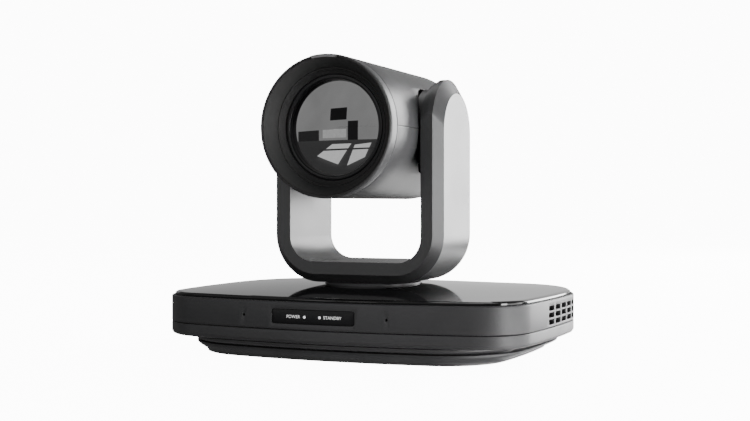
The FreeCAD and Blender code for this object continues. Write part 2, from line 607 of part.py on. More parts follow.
yoke_whole = yoke_block().cut(yoke_band(0.0))
half_room = V["cavity_half"]
rooms = []
for side in (-1, 1):
    x0, x1 = sorted((side * V["cavity_inner"], side * V["cavity_outer"]))
    room = Part.makeBox(x1 - x0, 2 * half_room, TILT_Z - 78.0, Vector(x0, -half_room, 78.0))
    room = room.fuse(arm_tool(half_room + 2.0, V["cavity_inner"], V["cavity_outer"], side))
    sleeve = arm_tool(V["tilt_housing_outer"], V["cavity_inner"] - 0.5,
                      V["cavity_inner"] + 3.4, side)
    room = room.cut(sleeve)
    seat = arm_tool(V["tilt_bearing_outer"], V["cavity_inner"] - 0.6, V["cavity_inner"] + 4, side)
    neck = arm_tool(V["trunnion_radius"] + 0.8, V["yoke_inner"] - 2, V["cavity_inner"] + 2, side)
    rooms += [room, seat, neck]
cable_well = Part.makeCylinder(V["shaft_bore"], 9.0, Vector(0, 0, V["yoke_bottom"] - 1))
SCREW_SPOTS = ((-26, 50.2), (26, 50.2), (-49.3, 72.0), (49.3, 72.0))
screw_wells = []
for x, z in SCREW_SPOTS:
    deep = V["yoke_half_depth"]
    screw_wells.append(Part.makeCylinder(1.2, 14.0, Vector(x, deep - 14.0, z), Vector(0, 1, 0)))
    screw_wells.append(Part.makeCylinder(2.5, 4.0, Vector(x, deep - 1.4, z), Vector(0, 1, 0)))
for tool in rooms + screw_wells + [cable_well]:
    yoke_whole = yoke_whole.cut(tool)
front_half = Part.makeBox(200, 60, 200, Vector(-100, -60, 0))
rear_half = Part.makeBox(200, 60, 200, Vector(-100, 0, 0))
yoke_at = at(0, PAN_Y, 0)
keep("yoke_front_shell", solid(yoke_whole.common(front_half), yoke_at))
keep("yoke_rear_shell", solid(yoke_whole.common(rear_half), yoke_at))
keep("yoke_side_panels", solid(yoke_band(0.25), yoke_at))

# tilt bearings in the arms, tilt motor and pinion in the left arm
tilt_rings = []
seat_inner = V["cavity_inner"] - 0.6
for side in (-1, 1):
    x = side * seat_inner if side > 0 else -seat_inner - V["tilt_bearing_thick"]
    tilt_rings.append(cut(cylinder("tilt_bearing_outer", "tilt_bearing_thick",
                                   at(x, PAN_Y, TILT_Z, ALONG_X)),
                          cylinder(V["trunnion_radius"] + 0.04, 12,
                                   at(x - 3, PAN_Y, TILT_Z, ALONG_X))))
keep("tilt_bearings", group(*tilt_rings))
motor_z = TILT_Z - V["tilt_distance"]
motor_x = -V["cavity_inner"] - V["tilt_motor_thick"]
can = cylinder("tilt_motor_radius", "tilt_motor_thick", at(motor_x, PAN_Y, motor_z, ALONG_X))
ears = box(motor_x, motor_x + 0.9, PAN_Y - 14, PAN_Y + 14, motor_z - 4, motor_z + 4)
can_bore = cylinder(1.04, 3.2, at(motor_x - 0.2, PAN_Y, motor_z, ALONG_X))
keep("tilt_motor", cut(fuse(can, ears), can_bore))
tilt_face = -V["tilt_gear_inner"] - V["tilt_gear_thick"]
side_teeth = gear_solid(0.8, 12, 0, V["tilt_gear_thick"], 0.08, 0.0)
side_stub = Part.makeCylinder(1.0, 3.4, Vector(0, 0, 2.2))
keep("tilt_pinion", solid(side_teeth.fuse(side_stub), at(tilt_face, PAN_Y, motor_z, ALONG_X)))
keep("tilt_home_sensor", box(-52.6, -46.0, PAN_Y + 10.5, PAN_Y + 18.0, 92.0, 99.0))
yoke_board = box(46.4, 48.0, PAN_Y - 15, PAN_Y + 15, 82, 112)
keep("yoke_board", yoke_board)
pins = []
for x, z in SCREW_SPOTS:
    head = cylinder(2.4, 1.2, at(x, PAN_Y + V["yoke_half_depth"] - 1.4, z, ALONG_Y))
    stem = cylinder(1.2, 14.0, at(x, PAN_Y + V["yoke_half_depth"] - 14.0, z, ALONG_Y))
    pins.append(fuse(head, stem))
keep("yoke_screws", group(*pins))

# ---------------------------------------------------------------- camera head
# turned pieces of the head: local Z runs backwards along the optical axis
head_at = at(0, PAN_Y, TILT_Z, ALONG_Y)
HF, SEAM, HR = V["head_front"], V["cowl_seam"], V["head_rear"]
RIM, BR = V["rim_radius"], V["barrel_radius"]
keep("front_ring", turned(((V["funnel_back"], HF + 13.0), ("funnel_mid", HF + 10.0),
                           (36.2, HF + 7.0), (39.1, HF + 3.0), ("funnel_front", HF + 1.0),
                           ("rim_radius", HF), ("rim_radius", HF + 1.0), (40.4, HF + 1.4),
                           (39.2, SEAM), (39.0, SEAM + 2.0), (36.8, SEAM + 6.0), (V["funnel_back"], SEAM + 6.0)),
                          head_at))
cowl = turned(((40.4, HF + 1.4), (RIM, HF + 1.0), ("barrel_radius", HF + 1.6),
               ("barrel_radius", SEAM), (39.5, SEAM)), head_at)
TALLY = 11.6
half_w = 45 * math.tan(math.radians(TALLY))
wedge_points = [Vector(0, 0, 0), Vector(half_w, 0, 45), Vector(-half_w, 0, 45), Vector(0, 0, 0)]


def tally_wedge():
    face = Part.Face(Part.makePolygon(wedge_points))
    return solid(face.extrude(Vector(0, 6, 0)), at(0, PAN_Y + HF - 1.0, TILT_Z))


tally_band = turned(((39.9, HF - 0.35), (41.9, HF - 0.35), (41.9, HF + 0.0), (39.9, HF + 0.0)),
                    head_at)
keep("tally_lamp", common(tally_band, tally_wedge()))
keep("front_cowl", cowl)
tube = turned((("barrel_radius", SEAM), ("barrel_radius", HR - 5.0), (40.5, HR - 1.5),
               (37.0, HR - 1.5), (39.6, HR - 5.0), (39.6, SEAM)), head_at)
shell_top = box(-60, 60, PAN_Y - 80, PAN_Y + 80, TILT_Z, TILT_Z + 60)
shell_low = box(-60, 60, PAN_Y - 80, PAN_Y + 80, TILT_Z - 60, TILT_Z)
HUB = V["hub_radius"]
hub_bores = [cylinder(HUB, 22, at(28 if side > 0 else -50, PAN_Y, TILT_Z, ALONG_X))
             for side in (-1, 1)]
keep("upper_shell", cut(common(tube, shell_top), *hub_bores))
keep("lower_shell", cut(common(tube, shell_low), *hub_bores))
cap = turned(((0, HR - 4.0), (36.9, HR - 4.0), (36.9, HR - 1.5), (40.3, HR - 1.5),
              (38.0, HR), (0, HR)), head_at)
CAP_SCREWS = ((-24, -24), (24, -24), (-24, 24), (24, 24))
cap_wells = []
for x, z in CAP_SCREWS:
    cap_wells.append(cylinder(1.0, 10.0, at(x, PAN_Y + HR - 8.0, TILT_Z + z, ALONG_Y)))
    cap_wells.append(cylinder(2.0, 4.0, at(x, PAN_Y + HR - 1.0, TILT_Z + z, ALONG_Y)))
keep("rear_cap", cut(cap, *cap_wells))


def hub(side):
    """Side boss with its hollow trunnion: x runs outwards from the head."""
    outward = Rotation(Vector(0, 1, 0), 90 * side)
    place = at(0, PAN_Y, TILT_Z, outward)
    reach = 49.9 if side > 0 else V["tilt_gear_inner"] + V["tilt_gear_thick"]
    points = (("trunnion_bore", 36.5), ("hub_radius", 36.5), ("hub_radius", "hub_face"),
              (V["trunnion_radius"] + 4, "hub_face"), (V["trunnion_radius"] + 4, V["hub_face"] + 1.0),
              ("trunnion_radius", V["hub_face"] + 1.0), ("trunnion_radius", reach),
              ("trunnion_bore", reach))
    return turned(points, place)


keep("tilt_hub_left", hub(-1))
keep("tilt_hub_right", hub(1))
rings = []
for side in (-1, 1):
    outward = Rotation(Vector(0, 1, 0), 90 * side)
    rings.append(turned(((V["trunnion_radius"] + 4, "hub_face"), ("hub_ring_radius", "hub_face"),
                         ("hub_ring_radius", V["hub_face"] + 0.6), (24.5, V["hub_face"] + 0.6),
                         (24.5, "hub_ring_face"), (V["trunnion_radius"] + 4, "hub_ring_face")),
                        at(0, PAN_Y, TILT_Z, outward)))
keep("hub_rings", group(*rings))
tilt_blank = gear_solid(0.8, 48, V["trunnion_radius"], V["tilt_gear_thick"], 0.08, math.pi / 48)
keep("tilt_gear", solid(tilt_blank, at(tilt_face, PAN_Y, TILT_Z, ALONG_X)))

# lens block
LR, LW = V["lens_tube_radius"], V["lens_tube_wall"]
GLASS_Y = HF + 18.2
keep("retaining_ring", turned(((28.6, HF + 13.5), (29.2, HF + 12.8), (31.2, HF + 12.8),
                               (31.2, HF + 19.0), (28.6, HF + 19.0)), head_at))
body = doc.addObject("PartDesign::Body", "glass")
crown_r = 220.0
GLASS_R, HALF_R = V["glass_radius"], V["glass_radius"] / 2
sag = crown_r - math.sqrt(crown_r ** 2 - GLASS_R ** 2)
half_sag = crown_r - math.sqrt(crown_r ** 2 - HALF_R ** 2)
glass_lines = [
    Part.Arc(Vector(0, GLASS_Y - sag, 0), Vector(HALF_R, GLASS_Y - sag + half_sag, 0),
             Vector(GLASS_R, GLASS_Y, 0)),
    Part.LineSegment(Vector(GLASS_R, GLASS_Y, 0), Vector(GLASS_R, GLASS_Y + 5, 0)),
    Part.LineSegment(Vector(GLASS_R, GLASS_Y + 5, 0), Vector(0, GLASS_Y + 3, 0)),
    Part.LineSegment(Vector(0, GLASS_Y + 3, 0), Vector(0, GLASS_Y - sag, 0)),
]
glass_sketch = sketch_on(body, "XZ_Plane", 0, glass_lines)
turn = body.newObject("PartDesign::Revolution", "revolve")
turn.Profile = glass_sketch
turn.ReferenceAxis = (glass_sketch, ["V_Axis"])
turn.Angle = 360.0
body.Placement = head_at
keep("front_lens", body)
TUBE_REAR = V["lens_tube_rear"]
ROD_ANGLES = (45, 225)
SCREW_ANGLES = {"zoom": 135, "focus": -45}


def around_axis(angle):
    """Offsets of a rod or screw that stands beside the optical axis."""
    turn_to = math.radians(angle)
    return V["rod_offset"] * math.cos(turn_to), V["rod_offset"] * math.sin(turn_to)


def side_bore(radius, angle, y0, length):
    x, z = around_axis(angle)
    return cylinder(radius, length, at(x, PAN_Y + y0, TILT_Z + z, ALONG_Y))


barrel = (turned(((28.5, HF + 19.0), (31.4, HF + 19.0), (31.4, HF + 22.0),
                            ("lens_tube_radius", HF + 22.0), ("lens_tube_radius", TUBE_REAR),
                            (12.0, TUBE_REAR), (12.0, TUBE_REAR - 2.0), (28.5, TUBE_REAR - 2.0)),
                           head_at))
SCREW_GAP = V["screw_radius"] + 0.4
wall_bores = [side_bore(SCREW_GAP, angle, TUBE_REAR - 6, 12) for angle in SCREW_ANGLES.values()]
keep("lens_barrel", cut(barrel, *wall_bores))
iris = turned(((9.0, -9.0), (28.4, -9.0), (28.4, -6.0), (9.0, -6.0)), head_at)
iris_bores = [side_bore("rod_radius", angle, -14, 14) for angle in ROD_ANGLES]
iris_bores.append(side_bore(SCREW_GAP, SCREW_ANGLES["zoom"], -14, 14))
keep("iris_unit", cut(iris, *iris_bores))
rod_front = HF + 24.0
keep("guide_rods", group(*[side_bore("rod_radius", angle, rod_front,
                                     TUBE_REAR - 2.0 - rod_front) for angle in ROD_ANGLES]))


def lens_group(name, front):
    """A lens cell on two guide rods, with a nut lug for its lead screw."""
    thick = V["group_thick"]
    cell = cylinder("group_radius", thick, at(0, PAN_Y + front, TILT_Z, ALONG_Y))
    lugs = [side_bore(3.4, angle, front, thick) for angle in ROD_ANGLES]
    lugs.append(side_bore(3.4, SCREW_ANGLES[name], front, thick))
    bores = [side_bore(V["rod_radius"] + 0.08, angle, front - 10, 40) for angle in ROD_ANGLES]
    bores.append(side_bore(SCREW_GAP, SCREW_ANGLES[name], front - 10, 40))
    return cut(fuse(cell, *lugs), *bores)


LENS_FRONTS = {"zoom": V["zoom_front"], "focus": V["focus_front"]}
motors = []
for name, front in LENS_FRONTS.items():
    keep(name + "_group", lens_group(name, front))
    start = front - 3.0
    reach = TUBE_REAR + 7.0 - start
    keep(name + "_lead_screw", side_bore("screw_radius", SCREW_ANGLES[name], start, reach))
    can = side_bore(5.0, SCREW_ANGLES[name], TUBE_REAR, 14.0)
    well = side_bore(V["screw_radius"] + 0.04, SCREW_ANGLES[name], TUBE_REAR - 1, 9.0)
    motors.append(cut(can, well))
keep("lens_motors", group(*motors))
keep("image_sensor", box(-6.4, 6.4, PAN_Y + TUBE_REAR + 1.0, PAN_Y + TUBE_REAR + 2.6,
                         TILT_Z - 4.8, TILT_Z + 4.8))
keep("sensor_board", box(-15, 15, PAN_Y + TUBE_REAR + 2.6, PAN_Y + TUBE_REAR + 4.2,
                         TILT_Z - 11, TILT_Z + 11))
keep("head_board", box(-26, 26, PAN_Y + 50.5, PAN_Y + 52.1, TILT_Z - 22, TILT_Z + 22))

# chassis: saddle plates that tie the hubs to the lens tube
ring_out = cylinder(34.0, 16.0, at(0, PAN_Y - 8.0, TILT_Z, ALONG_Y))
ring_in = cylinder("lens_tube_radius", 20.0, at(0, PAN_Y - 10.0, TILT_Z, ALONG_Y))
cheeks = []
for side in (-1, 1):
    x0, x1 = sorted((side * 30.8, side * 36.5))
    cheeks.append(box(x0, x1, PAN_Y - 16, PAN_Y + 16, TILT_Z - 12, TILT_Z + 12))
keep("lens_chassis", cut(fuse(ring_out, *cheeks), ring_in))
tails = []
for x, z in CAP_SCREWS:
    head = cylinder(1.9, 0.9, at(x, PAN_Y + HR - 1.0, TILT_Z + z, ALONG_Y))
    stem = cylinder(1.0, 6.0, at(x, PAN_Y + HR - 7.0, TILT_Z + z, ALONG_Y))
    tails.append(fuse(head, stem))
keep("rear_cap_screws", group(*tails))

# ---------------------------------------------------------------- checks and files
doc.recompute()
faults = []
for obj in doc.Objects:
    if "Invalid" in obj.State or "Error" in obj.State:
        faults.append(obj.Label + " failed")
for obj in PIECES:
    if obj.Shape.isNull() or not obj.Shape.isValid() or not obj.Shape.Solids:
        faults.append(obj.Label + " has no valid solid")
if faults:
    raise RuntimeError("; ".join(faults))
os.makedirs("parts", exist_ok=True)
for obj in PIECES:
    box_ = obj.Shape.BoundBox
    print("%-22s %2d solids %9.1f mm3  x %.1f..%.1f  y %.1f..%.1f  z %.1f..%.1f" % (
        obj.Label, len(obj.Shape.Solids), obj.Shape.Volume, box_.XMin, box_.XMax,
        box_.YMin, box_.YMax, box_.ZMin, box_.ZMax))
    obj.Shape.exportStep("parts/" + obj.Label + ".step")
print(len(PIECES), "pieces")
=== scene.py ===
import json
import math

import bpy
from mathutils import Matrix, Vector


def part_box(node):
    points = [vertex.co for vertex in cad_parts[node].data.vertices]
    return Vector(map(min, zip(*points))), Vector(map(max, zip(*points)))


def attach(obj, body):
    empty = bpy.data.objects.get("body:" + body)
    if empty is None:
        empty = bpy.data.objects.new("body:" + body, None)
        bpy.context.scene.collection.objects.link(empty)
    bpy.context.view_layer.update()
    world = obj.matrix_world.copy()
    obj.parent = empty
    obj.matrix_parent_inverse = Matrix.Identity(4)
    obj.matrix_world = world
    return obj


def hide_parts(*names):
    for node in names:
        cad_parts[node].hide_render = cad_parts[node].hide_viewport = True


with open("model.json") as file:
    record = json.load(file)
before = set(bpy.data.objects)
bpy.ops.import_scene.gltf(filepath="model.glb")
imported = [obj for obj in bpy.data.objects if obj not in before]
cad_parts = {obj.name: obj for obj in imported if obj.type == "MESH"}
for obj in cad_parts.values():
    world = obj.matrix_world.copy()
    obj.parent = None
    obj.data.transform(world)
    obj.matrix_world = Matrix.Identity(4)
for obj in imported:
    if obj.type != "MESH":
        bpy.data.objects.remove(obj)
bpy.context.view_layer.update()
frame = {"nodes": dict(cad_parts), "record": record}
MM = 0.001
bpy.ops.object.select_all(action="DESELECT")

# ------------------------------------------------------------------ places taken from the frame
def low(node):
    return [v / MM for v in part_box(node)[0]]


def high(node):
    return [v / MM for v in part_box(node)[1]]


JOINTS = {j["name"]: j for j in frame["record"]["behaviour"]["joints"]}
PAN_Y = JOINTS["pan"]["pos_m"][1] / MM
TILT_Z = JOINTS["tilt"]["pos_m"][2] / MM
HALF_WIDTH = high("base_upper_housing")[0]
FRONT = -low("base_upper_housing")[1]
REAR = high("base_upper_housing")[1]
SEAM_Z = low("base_upper_housing")[2]
DECK_Z = high("base_upper_housing")[2]
LOWER_Z = low("base_lower_housing")[2]
PLINTH_Z = low("base_plinth")[2]
HF = low("front_ring")[1]  # front of the head
REAR_Y = high("rear_cap")[1]
BARREL = high("upper_shell")[0]


# ------------------------------------------------------------------ hands: small modelling helpers
def activate(obj):
    bpy.ops.object.select_all(action="DESELECT")
    obj.select_set(True)
    bpy.context.view_layer.objects.active = obj


def edit(obj):
    activate(obj)
    bpy.ops.object.mode_set(mode="EDIT")


def done(obj):
    bpy.ops.object.mode_set(mode="OBJECT")
    activate(obj)


def apply_place(obj):
    activate(obj)
    bpy.ops.object.transform_apply(location=True, rotation=True, scale=True)


def modifier(obj, kind, **settings):
    activate(obj)
    mod = obj.modifiers.new(kind.lower(), kind)
    for key, value in settings.items():
        setattr(mod, key, value)
    bpy.ops.object.modifier_apply(modifier=mod.name)


def soften(obj, width, segments=3, angle=30.0):
    """Rounds every sharp edge a little."""
    modifier(obj, "BEVEL", width=width * MM, segments=segments, limit_method="ANGLE",
             angle_limit=math.radians(angle), harden_normals=False, use_clamp_overlap=True)


def smooth(obj, angle=35.0):
    activate(obj)
    bpy.ops.object.shade_smooth_by_angle(angle=math.radians(angle), keep_sharp_edges=True)


def outward(obj):
    edit(obj)
    bpy.ops.mesh.select_all(action="SELECT")
    bpy.ops.mesh.remove_doubles(threshold=0.00001)
    bpy.ops.mesh.normals_make_consistent(inside=False)
    done(obj)


def finish(obj, name, body, material, slot, *nodes):
    obj.name = name
    obj.data.name = name
    obj.data.materials.clear()
    obj.data.materials.append(material)
    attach(obj, body)
    if nodes:
        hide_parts(*nodes)
    return obj


def ring_chain(rings, closed, capped=True):
    """Extrudes one edge loop from ring to ring. Each ring is a list of points in millimetres.
    closed joins the last ring to the first; otherwise both ends are filled when capped."""
    count = len(rings[0])
    bpy.ops.object.select_all(action="DESELECT")
    bpy.ops.mesh.primitive_circle_add(vertices=count, radius=0.05, fill_type="NOTHING")
    obj = bpy.context.active_object
    for vert, place in zip(obj.data.vertices, rings[0]):
        vert.co = Vector(place) * MM
    bpy.ops.object.mode_set(mode="EDIT")
    bpy.ops.mesh.select_mode(type="EDGE")
    bpy.ops.mesh.select_all(action="SELECT")
    if capped and not closed:
        bpy.ops.mesh.edge_face_add()
        bpy.ops.mesh.select_all(action="SELECT")
        bpy.ops.mesh.select_mode(type="EDGE")
    for ring in rings[1:]:
        if capped and not closed:
            bpy.ops.mesh.extrude_region_move()
        else:
            bpy.ops.mesh.extrude_edges_move()
        bpy.ops.object.mode_set(mode="OBJECT")
        moved = [v for v in obj.data.vertices if v.select]
        for vert, place in zip(moved, ring):
            vert.co = Vector(place) * MM
        bpy.ops.object.mode_set(mode="EDIT")
    if closed:
        bpy.ops.mesh.select_all(action="SELECT")
        bpy.ops.mesh.remove_doubles(threshold=0.000004)
    done(obj)
    outward(obj)
    return obj


def lathe(profile, closed=True, count=128, along="Y"):
    """A turned piece: profile is (radius, place along the axis) pairs in millimetres."""
    rings = []
    for radius, place in profile:
        ring = []
        for k in range(count):
            angle = 2 * math.pi * k / count
            c, s = radius * math.cos(angle), radius * math.sin(angle)
            if along == "Y":
                ring.append((c, place, TILT_Z + s))
            elif along == "X":
                ring.append((place, PAN_Y + c, TILT_Z + s))
            else:
                ring.append((c, PAN_Y + s, place))
        rings.append(ring)
    if closed:
        rings.append(rings[0])
    return ring_chain(rings, closed, capped=not closed)


def arc_points(centre, radius, start, stop, steps):
    """Points of a profile's round corner, angles in degrees."""
    out = []
    for k in range(steps + 1):
        a = math.radians(start + (stop - start) * k / steps)
        out.append((centre[0] + radius * math.cos(a), centre[1] + radius * math.sin(a)))
    return out


def rounded_block(x0, x1, y0, y1, z0, z1, radius, axis="Y", segments=6):
    """A block whose four edges along one axis are round, in millimetres."""
    size = (x1 - x0, y1 - y0, z1 - z0)
    bpy.ops.object.select_all(action="DESELECT")
    bpy.ops.mesh.primitive_cube_add(size=1)
    obj = bpy.context.active_object
    obj.scale = [v * MM for v in size]
    obj.location = [MM * (a + b) / 2 for a, b in ((x0, x1), (y0, y1), (z0, z1))]
    apply_place(obj)
    edit(obj)
    index = "XYZ".index(axis)
    bpy.ops.mesh.select_mode(type="EDGE")
    bpy.ops.mesh.select_all(action="DESELECT")
    bpy.ops.object.mode_set(mode="OBJECT")
    for edge in obj.data.edges:
        a, b = (obj.data.vertices[i].co for i in edge.vertices)
        run = b - a
        edge.select = abs(run[index]) > 0.9 * run.length
    bpy.ops.object.mode_set(mode="EDIT")
    bpy.ops.mesh.bevel(offset=radius * MM, segments=segments, affect="EDGES")
    done(obj)
    return obj


def drill(radius, depth, place, axis, count):
    """A round cutter along Y or X, in millimetres."""
    turn = (math.pi / 2, 0, 0) if axis == "Y" else (0, math.pi / 2, 0)
    bpy.ops.mesh.primitive_cylinder_add(vertices=count, radius=radius * MM, depth=depth * MM,
                                        location=[v * MM for v in place], rotation=turn)
    cutter = bpy.context.active_object
    apply_place(cutter)
    return cutter


def carve(obj, *cutters):
    for cutter in cutters:
        activate(obj)
        mod = obj.modifiers.new("carve", "BOOLEAN")
        mod.operation = "DIFFERENCE"
        mod.solver = "EXACT"
        mod.object = cutter
        bpy.ops.object.modifier_apply(modifier=mod.name)
        bpy.data.objects.remove(cutter, do_unlink=True)


def join(objs):
    bpy.ops.object.select_all(action="DESELECT")
    for obj in objs:
        obj.select_set(True)
    bpy.context.view_layer.objects.active = objs[0]
    bpy.ops.object.join()
    return bpy.context.active_object


def copy_of(obj):
    twin = obj.copy()
    twin.data = obj.data.copy()
    bpy.context.scene.collection.objects.link(twin)
    return twin


def refined(node, width, segments=3, angle=24.0):
    """A merged copy of a CAD node with softened edges."""
    source = frame["nodes"][node]
    obj = bpy.data.objects.new(node + "_copy", source.data.copy())
    bpy.context.scene.collection.objects.link(obj)
    edit(obj)
    bpy.ops.mesh.select_all(action="SELECT")
    bpy.ops.mesh.remove_doubles(threshold=0.00001)
    bpy.ops.mesh.dissolve_limited(angle_limit=math.radians(0.6))
    done(obj)
    soften(obj, width, segments, angle)
    smooth(obj, 30.0)
    modifier(obj, "WEIGHTED_NORMAL", keep_sharp=True, weight=80)
    return obj


# ------------------------------------------------------------------ finishes
class Wire:
    """One output socket of a shader tree, with arithmetic."""

    def __init__(self, finish_, socket):
        self.finish = finish_
        self.socket = socket

    def _math(self, kind, a, b):
        return self.finish.node("ShaderNodeMath", {"operation": kind}, {0: a, 1: b})

    def __add__(self, other):
        return self._math("ADD", self, other)

    __radd__ = __add__

    def __sub__(self, other):
        return self._math("SUBTRACT", self, other)

    def __rsub__(self, other):
        return self._math("SUBTRACT", other, self)

    def __mul__(self, other):
        return self._math("MULTIPLY", self, other)

    __rmul__ = __mul__


class Finish:
    """A procedural finish on Object coordinates."""

    def __init__(self, name, **constants):
        self.material = bpy.data.materials.new(name)
        self.material.use_nodes = True
        self.tree = self.material.node_tree
        self.shader = self.tree.nodes["Principled BSDF"]
        for key, value in constants.items():
            self.shader.inputs[key.replace("_", " ")].default_value = value
        coords = self.tree.nodes.new("ShaderNodeTexCoord")
        self.place = Wire(self, coords.outputs["Object"])

    def node(self, kind, settings, sockets, output=0):
        made = self.tree.nodes.new(kind)
        for key, value in settings.items():
            setattr(made, key, value)
        for key, value in sockets.items():
            if isinstance(value, Wire):
                self.tree.links.new(value.socket, made.inputs[key])
            else:
                made.inputs[key].default_value = value
        return Wire(self, made.outputs[output])

    def noise(self, grain, detail=3.0, rough=0.5):
        """Noise whose grain size is in millimetres."""
        return self.node("ShaderNodeTexNoise", {}, {"Vector": self.place, "Scale": 1 / (grain * MM),
                                                    "Detail": detail, "Roughness": rough})

    def speck(self, grain):
        return self.node("ShaderNodeTexVoronoi", {}, {"Vector": self.place,
                                                      "Scale": 1 / (grain * MM)})

    def span(self, wire, low_, high_, out_low, out_high):
        return self.node("ShaderNodeMapRange", {}, {0: wire, 1: low_, 2: high_, 3: out_low,
                                                    4: out_high})

    def blend(self, factor, first, second):
        return self.node("ShaderNodeMix", {"data_type": "RGBA"},
                         {0: factor, 6: tuple(first) + (1,), 7: tuple(second) + (1,)}, 2)

    def feed(self, name, wire):
        self.tree.links.new(wire.socket, self.shader.inputs[name])

    def bump(self, wire, height, strength=1.0):
        made = self.node("ShaderNodeBump", {}, {"Height": wire, "Distance": height * MM,
                                                "Strength": strength})
        self.feed("Normal", made)


def moulded(name, dark, light, rough, grain, depth, spread=0.06, **constants):
    """Fine-textured plastic or paint: colour, gloss and relief all vary a little."""
    fin = Finish(name, **constants)
    cloud = fin.noise(38.0, 2.0)
    fine = fin.noise(grain, 4.0, 0.6)
    fin.feed("Base Color", fin.blend(fin.span(cloud, 0.3, 0.7, 0.0, 1.0), dark, light))
    fin.feed("Roughness", fin.span(cloud * 0.5 + fine * 0.5, 0.3, 0.7, rough - spread,
                                   rough + spread))
    fin.bump(fine, depth)
    return fin.material


def brushed(name, dark, light, rough, grain, depth, metallic=1.0, **constants):
    """Metal with fine random machining marks."""
    fin = Finish(name, Metallic=metallic, **constants)
    marks = fin.noise(grain, 5.0, 0.65)
    cloud = fin.noise(12.0, 2.0)
    fin.feed("Base Color", fin.blend(fin.span(marks, 0.3, 0.7, 0.0, 1.0), dark, light))
    fin.feed("Roughness", fin.span(marks * 0.6 + cloud * 0.4, 0.3, 0.7, rough - 0.08, rough + 0.1))
    fin.bump(marks, depth)
    return fin.material


def piano(name, colour, rough, smear, **constants):
    """Polished black plastic with faint wiping marks and dust."""
    fin = Finish(name, **constants)
    cloud = fin.noise(26.0, 3.0)
    dust = fin.speck(3.1)
    spots = fin.span(dust, 0.0, 0.06, 1.0, 0.0)
    fin.feed("Base Color", fin.blend(spots * 0.35, colour, (0.16, 0.16, 0.165)))
    fin.feed("Roughness", fin.span(cloud, 0.35, 0.75, rough, rough + smear) + spots * 0.2)
    fin.bump(fin.noise(60.0, 1.0), 0.05, 0.3)
    return fin.material


CHARCOAL = moulded("charcoal_housing", (0.036, 0.036, 0.038), (0.046, 0.046, 0.048), 0.46, 0.35,
                   0.02)
SATIN_GREY = moulded("satin_grey_paint", (0.05, 0.05, 0.052), (0.06, 0.06, 0.062), 0.4, 0.28,
                     0.012)
# a lighter, glossier copy of the satin grey for the side panels: painted light standing in for the
# side light on these faces; their paint is the yoke's own grey
PANEL_GREY_PAINTED_LIGHT = moulded("side_panel_grey_painted_lighter", (0.062, 0.062, 0.064), (0.074, 0.074, 0.076), 0.36, 0.28,
                     0.012)
RING_BLACK = moulded("matte_ring_black", (0.036, 0.036, 0.036), (0.04, 0.04, 0.04), 0.65, 1.4,
                     0.003, 0.03, Specular_IOR_Level=0.25)
HUB_BLACK = moulded("hub_black", (0.008, 0.008, 0.008), (0.014, 0.014, 0.014), 0.5, 0.25, 0.01)
RUBBER = moulded("foot_rubber", (0.015, 0.015, 0.015), (0.025, 0.025, 0.025), 0.75, 0.5, 0.06)
PIANO_BLACK = piano("piano_black_plate", (0.006, 0.006, 0.0065), 0.05, 0.05)
WINDOW_BLACK = piano("smoked_window", (0.009, 0.009, 0.01), 0.3, 0.06, Specular_IOR_Level=0.25)
ALUMINIUM = brushed("machined_aluminium", (0.5, 0.5, 0.51), (0.68, 0.68, 0.69), 0.32, 0.3, 0.006)
STEEL = brushed("plated_steel", (0.42, 0.42, 0.43), (0.6, 0.6, 0.61), 0.28, 0.25, 0.005)
DARK_STEEL = brushed("black_oxide_steel", (0.05, 0.05, 0.052), (0.09, 0.09, 0.092), 0.38, 0.25,
                     0.006)
BRASS = brushed("brass", (0.55, 0.4, 0.16), (0.72, 0.54, 0.24), 0.3, 0.25, 0.005)
ANODISED = moulded("black_anodised", (0.01, 0.01, 0.011), (0.018, 0.018, 0.019), 0.32, 0.15,
                   0.004, Metallic=0.3)
ACETAL = moulded("acetal_white", (0.62, 0.61, 0.57), (0.7, 0.69, 0.65), 0.42, 0.5, 0.01)
BOARD_GREEN = moulded("circuit_board", (0.01, 0.07, 0.03), (0.015, 0.1, 0.04), 0.35, 1.2, 0.02)
TIN = brushed("socket_tin", (0.5, 0.5, 0.5), (0.65, 0.65, 0.64), 0.3, 0.3, 0.004)


def lamp_finish():
    fin = Finish("lamp_diffuser", Emission_Strength=0.8)
    cloud = fin.noise(0.6, 2.0)
    fin.feed("Base Color", fin.blend(cloud, (0.8, 0.8, 0.8), (0.9, 0.9, 0.9)))
    fin.feed("Emission Color", fin.blend(cloud, (0.75, 0.75, 0.75), (1.0, 1.0, 1.0)))
    fin.feed("Roughness", fin.span(cloud, 0.3, 0.7, 0.35, 0.5))
    return fin.material


def glowing_print_finish():
    # the printed words glow (Emission Strength 0.55): painted light, since print is no lamp
    fin = Finish("label_print_painted_glow", Emission_Strength=0.55, Roughness=0.6)
    cloud = fin.noise(0.4, 2.0)
    fin.feed("Base Color", fin.blend(cloud, (0.75, 0.75, 0.75), (0.85, 0.85, 0.85)))
    fin.feed("Emission Color", fin.blend(cloud, (0.8, 0.8, 0.8), (1.0, 1.0, 1.0)))
    return fin.material


def tally_finish():
    fin = Finish("tally_diffuser")
    cloud = fin.noise(0.8, 2.0)
    fin.feed("Base Color", fin.blend(cloud, (0.2, 0.2, 0.2), (0.26, 0.26, 0.26)))
    fin.feed("Roughness", fin.span(cloud, 0.3, 0.7, 0.3, 0.4))
    fin.bump(cloud, 0.01)
    return fin.material


def glass_finish(name, tint, rough=0.0, index=1.52):
    fin = Finish(name, IOR=index)
    cloud = fin.noise(30.0, 1.0)
    fin.feed("Base Color", fin.blend(cloud, tint, [min(1.0, 1.04 * v) for v in tint]))
    fin.feed("Roughness", fin.span(cloud, 0.3, 0.7, rough, rough + 0.012))
    return fin.material


LAMP = lamp_finish()
PRINT_WHITE_GLOWING = glowing_print_finish()
TALLY = tally_finish()
FRONT_GLASS = glass_finish("front_glass", (0.006, 0.006, 0.007), 0.0, 2.8)
SENSOR_GLASS = glass_finish("sensor_glass", (0.02, 0.03, 0.06), 0.05)

